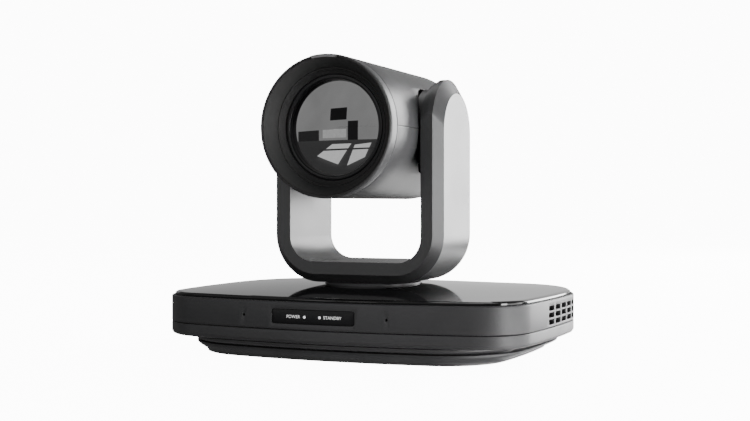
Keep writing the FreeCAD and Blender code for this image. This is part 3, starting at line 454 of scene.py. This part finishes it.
FINISHES = {
    "base_housing_grey": CHARCOAL, "gloss_black": PIANO_BLACK, "smoked_window": WINDOW_BLACK,
    "lamp_white": LAMP, "rubber_black": RUBBER, "sheet_steel": DARK_STEEL, "brass_insert": BRASS,
    "screw_steel": DARK_STEEL, "socket_black": RING_BLACK, "socket_metal": TIN,
    "board_green": BOARD_GREEN, "aluminium_raw": ALUMINIUM, "motor_metal": STEEL,
    "bearing_steel": STEEL, "gear_white": ACETAL, "sensor_black": RING_BLACK,
    "yoke_grey": SATIN_GREY, "head_grey": SATIN_GREY, "hub_black": HUB_BLACK,
    "ring_black": RING_BLACK, "lens_black": ANODISED, "lens_glass": FRONT_GLASS,
    "sensor_glass": SENSOR_GLASS,
}
for part in frame["record"]["subparts"]:
    cad = frame["nodes"][part["node"]]
    cad.data.materials.clear()
    cad.data.materials.append(FINISHES[part["material_slot"]])


# ------------------------------------------------------------------ base: bowed plan, round corners
FRONT_ARC, SIDE_ARC, REAR_ARC = 438.0, 576.0, 502.0
FRONT_CORNER, REAR_CORNER, WIDEST_AT = 34.7, 66.0, 14.0


def corner_centre(c1, r1, c2, r2, rear):
    """Where two circles meet on the right-hand side, at the rear or at the front."""
    dx, dy = c2[0] - c1[0], c2[1] - c1[1]
    gap = math.hypot(dx, dy)
    along = (r1 * r1 - r2 * r2 + gap * gap) / (2 * gap)
    off = math.sqrt(r1 * r1 - along * along)
    ex, ey = dx / gap, dy / gap
    found = [(c1[0] + along * ex - s * off * ey, c1[1] + along * ey + s * off * ex)
             for s in (1, -1)]
    return max(found, key=lambda q: q[0] + (q[1] if rear else -q[1]))


def plan_ring(inset, z, front=None, side=None, corner=None, rear_corner=None):
    """The base outline moved inwards, as points that start at the middle of the front."""
    front = inset if front is None else front
    side = inset if side is None else side
    rf, rs, rr = FRONT_ARC - front, SIDE_ARC - side, REAR_ARC - front
    kf = corner or max(FRONT_CORNER - inset, 6.0)
    kr = rear_corner or max(REAR_CORNER - inset, 6.0)
    cf, cr = (0.0, -FRONT + front + rf), (0.0, REAR - front - rr)
    cs = (HALF_WIDTH - side - rs, WIDEST_AT)
    pf = corner_centre(cf, rf - kf, cs, rs - kf, False)
    pr = corner_centre(cr, rr - kr, cs, rs - kr, True)

    def heading(c, p):
        return math.atan2(p[1] - c[1], p[0] - c[0])

    a, b, c, d = heading(cf, pf), heading(cs, pf), heading(cs, pr), heading(cr, pr)
    stretches = ((cf, rf, -math.pi / 2, a, 26), (pf, kf, a, b, 26), (cs, rs, b, c, 16),
                 (pr, kr, c, d, 26), (cr, rr, d, math.pi / 2, 18))
    right = []
    for centre, radius, start, stop, steps in stretches:
        for k in range(steps):
            t = start + (stop - start) * k / steps
            right.append((centre[0] + radius * math.cos(t), centre[1] + radius * math.sin(t)))
    right.append((0.0, REAR - front))
    left = [(-x, y) for x, y in right[-2:0:-1]]
    return [(x, y, z) for x, y in right + left]


def plan_shell(profile, closed=True):
    return ring_chain([plan_ring(*row) for row in profile + (profile[:1] if closed else [])],
                      closed, capped=not closed)


def front_y(x, inset=0.0):
    radius = FRONT_ARC - inset
    return -FRONT + inset + radius - math.sqrt(radius * radius - x * x)


WALL = 2.5
SEAM_GAP = 0.28
LIP = 0.9
wx0, wx1 = low("indicator_window")[0], high("indicator_window")[0]
wz0, wz1 = low("indicator_window")[2], high("indicator_window")[2]
WINDOW_X, WINDOW_Z = (wx0 + wx1) / 2, (wz0 + wz1) / 2
MIC_X, MIC_BORE = 45.3, 0.75
MIC_MIDDLE = (low("microphones")[0] + high("microphones")[0]) / 2
MIC_Z = (low("microphones")[2] + high("microphones")[2]) / 2
TURN_R = high("turntable")[0]

# upper housing: bowed wall with a rounded lip, a groove for the plate and a deck
lip = arc_points((LIP, DECK_Z - LIP), LIP, 180, 90, 5)
upper = plan_shell([(0.35, SEAM_Z + SEAM_GAP), (0.0, SEAM_Z + SEAM_GAP + 0.35)] + lip
                   + [(1.75, DECK_Z), (1.95, DECK_Z - 0.2), (1.95, DECK_Z - 0.9),
                      (WALL + 4, DECK_Z - 0.9), (WALL + 4, DECK_Z - 2.5), (WALL, DECK_Z - 2.5),
                      (WALL, SEAM_Z + SEAM_GAP)])
cutters = [rounded_block(wx0 - 0.2, wx1 + 0.2, -FRONT - 4, front_y(24.0) + 1.2, wz0 - 0.2,
                         wz1 + 0.2, 1.6)]
for side in (-1, 1):
    cutters.append(drill(MIC_BORE, 12, (side * MIC_X + MIC_MIDDLE, -FRONT, MIC_Z), "Y", 24))
VENT_LENGTH, VENT_HEIGHT, VENT_PITCH_Y, VENT_PITCH_Z = 10.0, 2.9, 12.6, 4.05
VENT_Z, VENT_Y = 23.3, -19.8
VENT_COLUMNS, VENT_ROWS = 5, 3
slot_cut = rounded_block(HALF_WIDTH - 8, HALF_WIDTH + 4, VENT_Y - VENT_LENGTH / 2,
                         VENT_Y + VENT_LENGTH / 2, VENT_Z - VENT_HEIGHT / 2,
                         VENT_Z + VENT_HEIGHT / 2, 0.8, axis="X")
slots = []
for side in (-1, 1):
    for column in range(VENT_COLUMNS):
        for row in range(VENT_ROWS):
            twin = copy_of(slot_cut)
            for vert in twin.data.vertices:
                vert.co.y += column * VENT_PITCH_Y * MM
                vert.co.z += row * VENT_PITCH_Z * MM
                vert.co.x *= side
            slots.append(twin)
bpy.data.objects.remove(slot_cut, do_unlink=True)
slots = join(slots)
outward(slots)
cutters.append(slots)
panel_lo, panel_hi = low("rear_connector_panel"), high("rear_connector_panel")
cutters.append(rounded_block(panel_lo[0], panel_hi[0], panel_lo[1] - 1, REAR + 6, panel_lo[2],
                             panel_hi[2], 1.4))
carve(upper, *cutters)
soften(upper, 0.16, 2, 40.0)
smooth(upper, 32.0)
finish(upper, "base_upper_shell", "base", CHARCOAL, "base_housing_grey", "base_upper_housing")

# lower housing: straight wall, small bevel, flat underside that runs in to the dark groove
lower = plan_shell([(0.0, SEAM_Z - 0.35), (0.35, SEAM_Z), (WALL, SEAM_Z), (WALL, LOWER_Z + 2.1),
                    (40.0, LOWER_Z + 2.1), (40.0, LOWER_Z), (9.0, LOWER_Z), (2.4, LOWER_Z + 0.2),
                    (0.9, LOWER_Z + 0.9), (0.0, LOWER_Z + 2.3)])
soften(lower, 0.12, 2, 40.0)
smooth(lower, 32.0)
finish(lower, "base_lower_shell", "base", CHARCOAL, "base_housing_grey", "base_lower_housing")

# plinth: dark groove, rounded rim and an S-shaped flank down to the foot
rim_top = PLINTH_Z + 8.0
# each row: general inset, height, then insets of the front and the sides and the corner radii
BAND = (2.6, 15.0, 45.0, 60.0)
RIM = (7.6, 11.5, 50.0, 52.0)
FOOT = (11.4, 20.4, 40.0, 45.0)


def between(first, second, t, z, grow=0.0):
    mixed = [a + (b - a) * t for a, b in zip(first, second)]
    return (8.0, z, mixed[0] + grow, mixed[1] + grow, mixed[2] - grow, mixed[3] - grow)


rim_z = rim_top - 1.6
cove = [between(BAND, RIM, 0.0, LOWER_Z - 0.05, 0.3), between(BAND, RIM, 0.0, LOWER_Z - 0.35),
        between(BAND, RIM, 0.0, LOWER_Z - 1.4), between(BAND, RIM, 0.05, LOWER_Z - 1.7)]
for k in range(1, 7):
    t = k / 6
    cove.append(between(BAND, RIM, t, LOWER_Z - 1.7 - (LOWER_Z - 1.7 - rim_z - 0.5) * t ** 0.8,
                        2.2 * math.sin(math.pi * t / 2)))
cove += [between(BAND, RIM, 1.0, rim_z + 0.35, 0.7), between(BAND, RIM, 1.0, rim_z, 0.0)]
flank = []
for k in range(1, 13):
    t = k / 12
    flank.append(between(RIM, FOOT, (3 * t ** 2 - 2 * t ** 3) ** 0.9,
                         PLINTH_Z + 0.9 + (1 - t) ** 1.1 * (rim_z - PLINTH_Z - 1.3)))
plinth = plan_shell(cove + flank
                    + [between(RIM, FOOT, 1.0, PLINTH_Z + 0.3, 0.2),
                       between(RIM, FOOT, 1.0, PLINTH_Z, 1.2), (28.0, PLINTH_Z),
                       (28.0, PLINTH_Z + 2.4), (22.0, PLINTH_Z + 2.4), (22.0, LOWER_Z - 0.05)])
smooth(plinth, 40.0)
finish(plinth, "base_foot_plinth", "base", CHARCOAL, "base_housing_grey", "base_plinth")

# crowned top plate with a small rounded edge and the round opening of the turntable
PLATE_HOLE = TURN_R + 0.8
PLATE_EDGE_Z = DECK_Z + 1.6
PLATE_THICK = 1.6
CROWN, CROWN_X, CROWN_Y = 4.998, 122.0, 94.0


def dome_z(x, y):
    return PLATE_EDGE_Z + CROWN * (1 - (x / CROWN_X) ** 2) * (1 - (y / CROWN_Y) ** 2)


edge_ring = plan_ring(3.2, 0.0)
hole_ring = []
for x, y, z in edge_ring:
    turn = math.atan2(y - PAN_Y, x)
    hole_ring.append((PLATE_HOLE * math.cos(turn), PAN_Y + PLATE_HOLE * math.sin(turn)))
plate_rings = [plan_ring(2.3, DECK_Z - 0.85)]
for inset, z in [(2.15, DECK_Z - 0.5), (2.15, PLATE_EDGE_Z - 0.5)] + \
        arc_points((2.6, PLATE_EDGE_Z - 0.45), 0.45, 172, 100, 5):
    plate_rings.append(plan_ring(inset, z))
STEPS = 18
for k in range(STEPS + 1):
    t = (k / STEPS) ** 1.15
    ring = []
    for (x, y, z), (hx, hy) in zip(edge_ring, hole_ring):
        px, py = x + (hx - x) * t, y + (hy - y) * t
        ring.append((px, py, dome_z(px, py)))
    plate_rings.append(ring)
under = [(x, y, dome_z(x, y) - PLATE_THICK) for x, y in hole_ring]
plate_rings.append(under)
plate_rings.append(plan_ring(6.0, DECK_Z - 0.3))
plate_rings.append(plate_rings[0])
plate = ring_chain(plate_rings, True)
smooth(plate, 40.0)
finish(plate, "crowned_top_plate", "base", PIANO_BLACK, "gloss_black", "base_top_plate")

# turntable: thin rim under the yoke, boss and hollow shaft
SHAFT_LOW, TURN_TOP = low("turntable")[2], high("turntable")[2]
turntable = lathe([(8.0, SHAFT_LOW), (11.7, SHAFT_LOW), (12.0, SHAFT_LOW + 0.3), (12.0, 30.0),
                   (19.7, 30.0), (20.0, 30.3), (20.0, 38.6), (TURN_R - 0.4, 38.6),
                   (TURN_R, 39.0), (TURN_R, TURN_TOP - 0.45), (TURN_R - 0.35, TURN_TOP - 0.1),
                   (TURN_R - 1.2, TURN_TOP), (8.0, TURN_TOP)], along="Z", count=160)
smooth(turntable, 35.0)
finish(turntable, "pan_turntable", "yoke", CHARCOAL, "aluminium_raw", "turntable")

# indicator window that follows the bowed front, with lamps and plain word labels
WINDOW_THICK, WINDOW_PROUD = 1.2, 0.25
window = rounded_block(wx0, wx1, -WINDOW_THICK, 0.0, wz0, wz1, 1.5)
for cut_x in range(int(wx0) + 3, int(wx1) - 1, 4):
    edit(window)
    bpy.ops.mesh.select_all(action="SELECT")
    bpy.ops.mesh.bisect(plane_co=(cut_x * MM, 0, 0), plane_no=(1, 0, 0))
    done(window)
soften(window, 0.2, 3, 50.0)
for vert in window.data.vertices:
    x, y, z = vert.co / MM
    vert.co.y = (front_y(x) + WINDOW_PROUD + (y + WINDOW_THICK)) * MM
smooth(window, 35.0)
finish(window, "indicator_window_lens", "base", WINDOW_BLACK, "smoked_window", "indicator_window")
LAMP_X, LAMP_R = 4.8, 0.8
lamps = []
for side in (-1, 1):
    x = WINDOW_X + side * LAMP_X
    lamp = lathe([(0.05, -0.22), (0.5, -0.2), (LAMP_R, -0.1), (LAMP_R, 0.02), (LAMP_R, 0.5)],
                 closed=False, count=28)
    for vert in lamp.data.vertices:
        vert.co.x += x * MM
        vert.co.y += (front_y(x) + 0.3) * MM
        vert.co.z += (WINDOW_Z - TILT_Z) * MM
    lamps.append(lamp)
lamp_pair = join(lamps)
smooth(lamp_pair, 35.0)
finish(lamp_pair, "indicator_lamp_pair", "base", LAMP, "lamp_white", "indicator_lamps")


def label(word, x_middle, size, name):
    """Thin printed word on the window; its print finish glows, which is painted light."""
    bpy.ops.object.select_all(action="DESELECT")
    bpy.ops.object.text_add()
    obj = bpy.context.active_object
    obj.data.body = word
    obj.data.size = size * MM
    obj.data.align_x = "CENTER"
    obj.data.align_y = "CENTER"
    obj.data.extrude = 0.02 * MM
    obj.data.offset = 0.012 * MM
    obj.rotation_euler = (math.pi / 2, 0, 0)
    obj.location = (x_middle * MM, 0, WINDOW_Z * MM)
    bpy.ops.object.convert(target="MESH")
    obj = bpy.context.active_object
    apply_place(obj)
    for vert in obj.data.vertices:
        vert.co.y += (front_y(vert.co.x / MM) + 0.235) * MM
    outward(obj)
    return finish(obj, name, "base", PRINT_WHITE_GLOWING, "lamp_white")


label("POWER", WINDOW_X - 12.0, 2.55, "power_label")
label("STANDBY", WINDOW_X + 12.8, 2.55, "standby_label")

# ------------------------------------------------------------------ yoke
front_shell = refined("yoke_front_shell", 0.5, 3)
finish(front_shell, "yoke_front_cover", "yoke", SATIN_GREY, "yoke_grey", "yoke_front_shell")
rear_shell = refined("yoke_rear_shell", 0.5, 3)
finish(rear_shell, "yoke_rear_cover", "yoke", SATIN_GREY, "yoke_grey", "yoke_rear_shell")
side_panels = refined("yoke_side_panels", 0.3, 3)
# the side covers take the lighter copy of the yoke grey: painted light on the side faces
finish(side_panels, "yoke_side_covers", "yoke", PANEL_GREY_PAINTED_LIGHT, "yoke_grey", "yoke_side_panels")

# ------------------------------------------------------------------ camera head
RIM_R = high("front_ring")[0]
SEAM_Y = high("front_cowl")[1]

# black front ring: thin rim, and a funnel with fine steps down to the lens
ring_profile = [
    (41.0, HF + 1.2), (RIM_R, HF + 0.75), (RIM_R, HF + 0.35), (RIM_R - 0.35, HF), (40.55, HF),
    (40.45, HF + 0.9), (40.1, HF + 0.95), (40.05, HF + 0.5), (39.8, HF + 0.75), (35.1, HF + 9.1),
    (34.95, HF + 9.6), (34.6, HF + 9.65), (34.5, HF + 9.2), (34.25, HF + 9.4), (33.9, HF + 10.3),
    (33.0, HF + 11.9), (32.2, HF + 12.6), (31.5, HF + 13.1), (31.4, HF + 14.5),
    (31.4, HF + 15.4), (36.8, HF + 15.4), (39.0, HF + 11.4), (39.2, HF + 9.4), (40.3, HF + 1.6),
]
front_ring = lathe(ring_profile, count=192)
soften(front_ring, 0.07, 2, 35.0)
smooth(front_ring, 35.0)
finish(front_ring, "front_funnel_ring", "camera_head", RING_BLACK, "ring_black", "front_ring")

# pale tally segment let into the top of the rim
TALLY_HALF = 11.6
tally_rings = []
for k in range(25):
    slant = -TALLY_HALF + 2 * TALLY_HALF * k / 24
    ring = []
    for radius, depth, extra in ((39.95, -0.28, -0.9), (41.6, -0.28, 0.9), (41.75, -0.12, 0.95),
                                 (41.75, 0.6, 0.95), (39.9, 0.3, -0.95)):
        a = math.radians(90 + slant + extra * (slant / TALLY_HALF))
        ring.append((radius * math.cos(a), HF + depth, TILT_Z + radius * math.sin(a)))
    tally_rings.append(ring)
tally = ring_chain(tally_rings, False)
soften(tally, 0.08, 2, 40.0)
smooth(tally, 35.0)
finish(tally, "tally_light_segment", "camera_head", TALLY, "lamp_white", "tally_lamp")

# front cowl, upper and lower shells, rear cap
cowl = lathe([(40.4, HF + 1.65), (41.1, HF + 1.3), (41.6, HF + 1.35), (41.9, HF + 1.7),
              (BARREL, HF + 2.2), (BARREL, SEAM_Y - 0.5), (BARREL - 0.35, SEAM_Y - 0.15),
              (39.5, SEAM_Y - 0.15), (39.3, SEAM_Y - 1.0)], count=192)
smooth(cowl, 35.0)
finish(cowl, "front_cowl_band", "camera_head", SATIN_GREY, "head_grey", "front_cowl")


HUB_BORE, SPLIT = 26.2, 0.12
END_ROUND, END_AT = 4.0, REAR_Y - 5.4


def half_shell(sign, name, node):
    """Half of the barrel, with a fine split line at the tilt axis and recesses for the hubs."""
    end_round = arc_points((BARREL - END_ROUND, END_AT), END_ROUND, 0, 62, 8)
    profile = [(39.6, SEAM_Y + 0.15), (BARREL - 0.35, SEAM_Y + 0.15), (BARREL, SEAM_Y + 0.5)]
    for k in range(1, 6):
        profile.append((BARREL, SEAM_Y + 0.5 + (END_AT - SEAM_Y - 0.5) * k / 6))
    profile += end_round + [(37.4, REAR_Y - 1.9), (37.4, REAR_Y - 4.0), (39.6, REAR_Y - 7.0)]
    obj = lathe(profile, count=192)
    edit(obj)
    bpy.ops.mesh.select_all(action="SELECT")
    bpy.ops.mesh.bisect(plane_co=(0, 0, (TILT_Z + sign * SPLIT) * MM), plane_no=(0, 0, 1),
                        clear_inner=sign > 0, clear_outer=sign < 0, use_fill=True)
    done(obj)
    carve(obj, *[drill(HUB_BORE, 24, (side * 40, PAN_Y, TILT_Z), "X", 128) for side in (-1, 1)])
    soften(obj, 0.14, 2, 40.0)
    smooth(obj, 32.0)
    return finish(obj, name, "camera_head", SATIN_GREY, "head_grey", node)


half_shell(1, "head_upper_shell", "upper_shell")
half_shell(-1, "head_lower_shell", "lower_shell")
rear = lathe([(37.1, REAR_Y - 4.0), (37.1, REAR_Y - 1.7), (36.8, REAR_Y - 1.2),
              (35.6, REAR_Y - 0.9), (34.6, REAR_Y - 0.4), (33.4, REAR_Y - 0.05),
              (33.0, REAR_Y), (32.5, REAR_Y), (0.4, REAR_Y)], closed=False, count=160)
SCREW_AT, SCREW_BORE = 24, 2.2
carve(rear, *[drill(SCREW_BORE, 4, (sx * SCREW_AT, REAR_Y + 0.8, TILT_Z + sz * SCREW_AT), "Y", 32)
              for sx in (-1, 1) for sz in (-1, 1)])
smooth(rear, 35.0)
finish(rear, "head_rear_cap", "camera_head", SATIN_GREY, "head_grey", "rear_cap")

# side hubs: bosses that grow out of the barrel, and thin rings against the arms
HUB_FACE = 42.0
for side, name in ((-1, "left"), (1, "right")):
    reach = max(abs(low("tilt_hub_" + name)[0]), abs(high("tilt_hub_" + name)[0]))
    boss = lathe([(5.0, side * 36.5), (25.0, side * 36.5), (26.0, side * 37.0),
                  (26.0, side * (HUB_FACE - 0.5)), (25.6, side * HUB_FACE), (12.0, side * HUB_FACE),
                  (12.0, side * (HUB_FACE + 1.0)), (8.0, side * (HUB_FACE + 1.0)),
                  (8.0, side * (reach - 0.3)), (7.7, side * reach), (5.0, side * reach)],
                 along="X", count=128)
    smooth(boss, 35.0)
    finish(boss, "tilt_boss_" + name, "camera_head", SATIN_GREY, "hub_black", "tilt_hub_" + name)
hub_pair = []
for side in (-1, 1):
    steps = [(12.0, HUB_FACE), (HUB_BORE, HUB_FACE), (26.4, HUB_FACE + 0.2),
             (26.4, HUB_FACE + 0.85), (HUB_BORE, HUB_FACE + 1.1), (12.0, HUB_FACE + 1.1)]
    hub_pair.append(lathe([(r, side * x) for r, x in steps], along="X", count=128))
hubs = join(hub_pair)
smooth(hubs, 35.0)
finish(hubs, "hub_ring_pair", "camera_head", SATIN_GREY, "hub_black", "hub_rings")

# lens: polished retaining ring and bulging front glass, in front of the dark cells
retainer = lathe([(31.3, HF + 13.1), (31.05, HF + 12.85), (30.2, HF + 12.8), (30.1, HF + 13.1),
                  (29.9, HF + 13.1), (29.8, HF + 12.8), (29.2, HF + 12.8), (28.8, HF + 13.1),
                  (28.6, HF + 13.6), (28.6, HF + 18.9), (31.3, HF + 18.9)], count=160)
smooth(retainer, 50.0)
finish(retainer, "lens_retaining_ring", "camera_head", ANODISED, "lens_black", "retaining_ring")

GLASS_R = high("front_lens")[0]
GLASS_EDGE = HF + 16.6
CURVE = 220.0
front_curve = []
for k in range(25):
    r = GLASS_R * math.sin(math.pi / 2 * k / 24)
    sag = math.sqrt(CURVE ** 2 - r ** 2) - math.sqrt(CURVE ** 2 - GLASS_R ** 2)
    front_curve.append((max(r, 0.05), GLASS_EDGE - sag))
glass = lathe(front_curve + [(GLASS_R, GLASS_EDGE + 5.0), (14.0, GLASS_EDGE + 4.0),
                             (0.05, GLASS_EDGE + 3.0)], closed=False, count=160)
smooth(glass, 40.0)
finish(glass, "front_glass_element", "camera_head", FRONT_GLASS, "lens_glass", "front_lens")

# ------------------------------------------------------------------ camera, light and floor
CAMERA_PLACE = (0.2979, -0.7074, 0.0928)
CAMERA_TURN = math.radians(22.97)
CAMERA_DIP = math.radians(0.34)
camera_data = bpy.data.cameras.new("camera")
camera_data.sensor_width = 36.0
camera_data.lens = 57.6
camera_data.clip_start = 0.01
camera_data.clip_end = 50.0
camera = bpy.data.objects.new("camera", camera_data)
camera.location = CAMERA_PLACE
camera.rotation_euler = (math.pi / 2 - CAMERA_DIP, 0, CAMERA_TURN)
bpy.context.scene.collection.objects.link(camera)
bpy.context.scene.camera = camera


def area_light(name, place, aim, width, height, power):
    data = bpy.data.lights.new(name, "AREA")
    data.shape = "RECTANGLE"
    data.size, data.size_y, data.energy = width, height, power
    obj = bpy.data.objects.new(name, data)
    obj.location = place
    obj.rotation_euler = (Vector(aim) - Vector(place)).to_track_quat("-Z", "Y").to_euler()
    bpy.context.scene.collection.objects.link(obj)
    return obj


area_light("right_softbox", (1.35, 0.75, 0.4), (0, 0, 0.1), 0.6, 0.9, 9)
area_light("bevel_strip", (1.35, -0.33, 0.12), (0, 0, 0.1), 0.3, 0.8, 14)
area_light("back_right_softbox", (0.8, 1.6, 0.4), (0, 0, 0.1), 0.65, 1.2, 44)
area_light("back_low_softbox", (0.1, 1.5, -0.5), (0, 0, 0.12), 0.9, 0.5, 5)
fill = area_light("front_fill", (-0.5, -1.7, 0.7), (0, 0, 0.1), 1.2, 1.0, 7.0)
fill.visible_glossy = False
area_light("top_soft", (-0.1, 0.5, 1.6), (0, 0, 0.1), 1.2, 0.8, 7)
area_light("floor_bounce", (1.0, 0.1, -0.5), (0, 0, 0.12), 1.2, 1.2, 22)


def card(name, corners, brightness, grain=220.0):
    """Flat studio card that is only seen in polished surfaces."""
    bpy.ops.object.select_all(action="DESELECT")
    bpy.ops.mesh.primitive_plane_add(size=2)
    obj = bpy.context.active_object
    obj.name = name
    for vert in obj.data.vertices:
        near, right = vert.co.y < 0, vert.co.x > 0
        vert.co = corners[(1 if right else 0) if near else (2 if right else 3)]
    paper = Finish(name + "_paper", Roughness=1.0, Emission_Strength=1.0)
    cloud = paper.noise(grain, 3.0)
    paper.feed("Emission Color", paper.blend(cloud, [0.75 * brightness] * 3,
                                             [1.2 * brightness] * 3))
    paper.feed("Base Color", paper.blend(cloud, [0.001] * 3, [0.002] * 3))
    obj.data.materials.append(paper.material)
    obj.visible_camera = False
    obj.visible_diffuse = False
    obj.visible_shadow = False
    return obj


def upright_card(name, x0, x1, y, z0, z1, brightness, grain=220.0):
    return card(name, ((x0, y, z0), (x1, y, z0), (x1, y, z1), (x0, y, z1)), brightness, grain)


def level_card(name, z, corners, brightness, grain):
    return card(name, [(x, y, z) for x, y in corners], brightness, grain)


# a plain grey room of cards in front of the lens: wall, picture, low furniture, floor, window light
ROOM_WALL_Y, ROOM_FLOOR_Z = -40.0, -0.3
ROOM_LEFT, ROOM_RIGHT = -60.0, 27.0
upright_card("room_wall", ROOM_LEFT, ROOM_RIGHT, ROOM_WALL_Y, ROOM_FLOOR_Z, 30.0, 0.85, 9000.0)
upright_card("room_picture", -20.0, -14.8, ROOM_WALL_Y + 0.3, 4.7, 7.75, 0.03, 900.0)
upright_card("room_cabinet", -32.5, -23.8, ROOM_WALL_Y + 0.4, ROOM_FLOOR_Z, 2.4, 0.08, 900.0)
upright_card("room_bench", -22.4, -14.8, ROOM_WALL_Y + 0.4, 0.3, 2.4, 1.5, 900.0)
upright_card("room_plant", -14.3, -11.4, ROOM_WALL_Y + 0.4, ROOM_FLOOR_Z, 4.3, 0.04, 900.0)
level_card("room_floor", ROOM_FLOOR_Z - 0.01,
           ((ROOM_LEFT, -0.3), (ROOM_RIGHT, -0.3), (ROOM_RIGHT, ROOM_WALL_Y),
            (ROOM_LEFT, ROOM_WALL_Y)), 0.12, 200.0)
level_card("window_light_left", ROOM_FLOOR_Z + 0.05,
           ((-2.1, -3.4), (-1.0, -2.3), (-3.8, -11.4), (-5.2, -10.8)), 2.2, 90.0)
level_card("window_light_right", ROOM_FLOOR_Z + 0.05,
           ((-0.8, -2.2), (-0.75, -3.2), (-2.4, -12.4), (-2.8, -9.1)), 2.2, 90.0)
level_card("window_bar", ROOM_FLOOR_Z + 0.06,
           ((-3.3, -5.5), (-1.1, -6.3), (-0.95, -5.4), (-2.8, -4.7)), 0.1, 90.0)
# pale backdrop that the polished top plate mirrors, brighter on the right
upright_card("backdrop_right", -1.2, 2.0, 3.0, -0.3, 1.4, 1.0, 2500.0)
upright_card("backdrop_left", -3.6, -1.2, 3.0, -0.3, 1.4, 0.5, 2500.0)

world = bpy.data.worlds.new("studio")
bpy.context.scene.world = world
world.use_nodes = True
sky = world.node_tree
back = sky.nodes["Background"]
back.inputs["Color"].default_value = (1, 1, 1, 1)
back.inputs["Strength"].default_value = 0.16
seen = sky.nodes.new("ShaderNodeBackground")
seen.inputs["Color"].default_value = (1, 1, 1, 1)
seen.inputs["Strength"].default_value = 12.0
path = sky.nodes.new("ShaderNodeLightPath")
mix = sky.nodes.new("ShaderNodeMixShader")
sky.links.new(path.outputs["Is Camera Ray"], mix.inputs[0])
sky.links.new(back.outputs[0], mix.inputs[1])
sky.links.new(seen.outputs[0], mix.inputs[2])
sky.links.new(mix.outputs[0], sky.nodes["World Output"].inputs["Surface"])

bpy.ops.object.select_all(action="DESELECT")
bpy.ops.mesh.primitive_plane_add(size=40, location=(0, 0, 0))
floor = bpy.context.active_object
floor.name = "studio_floor"
floor.location.z = -0.0002
apply_place(floor)
floor_finish = Finish("studio_floor_paper", Roughness=0.9, Emission_Strength=12.0)
floor_grain = floor_finish.noise(400.0, 2.0)
floor_finish.feed("Base Color", floor_finish.blend(floor_grain, (0.86, 0.86, 0.86),
                                                   (0.9, 0.9, 0.9)))
floor_finish.feed("Emission Color", floor_finish.blend(floor_grain, (0.98, 0.98, 0.98),
                                                       (1, 1, 1)))
floor.data.materials.append(floor_finish.material)
floor.visible_glossy = False
floor.visible_diffuse = False
floor.visible_shadow = False
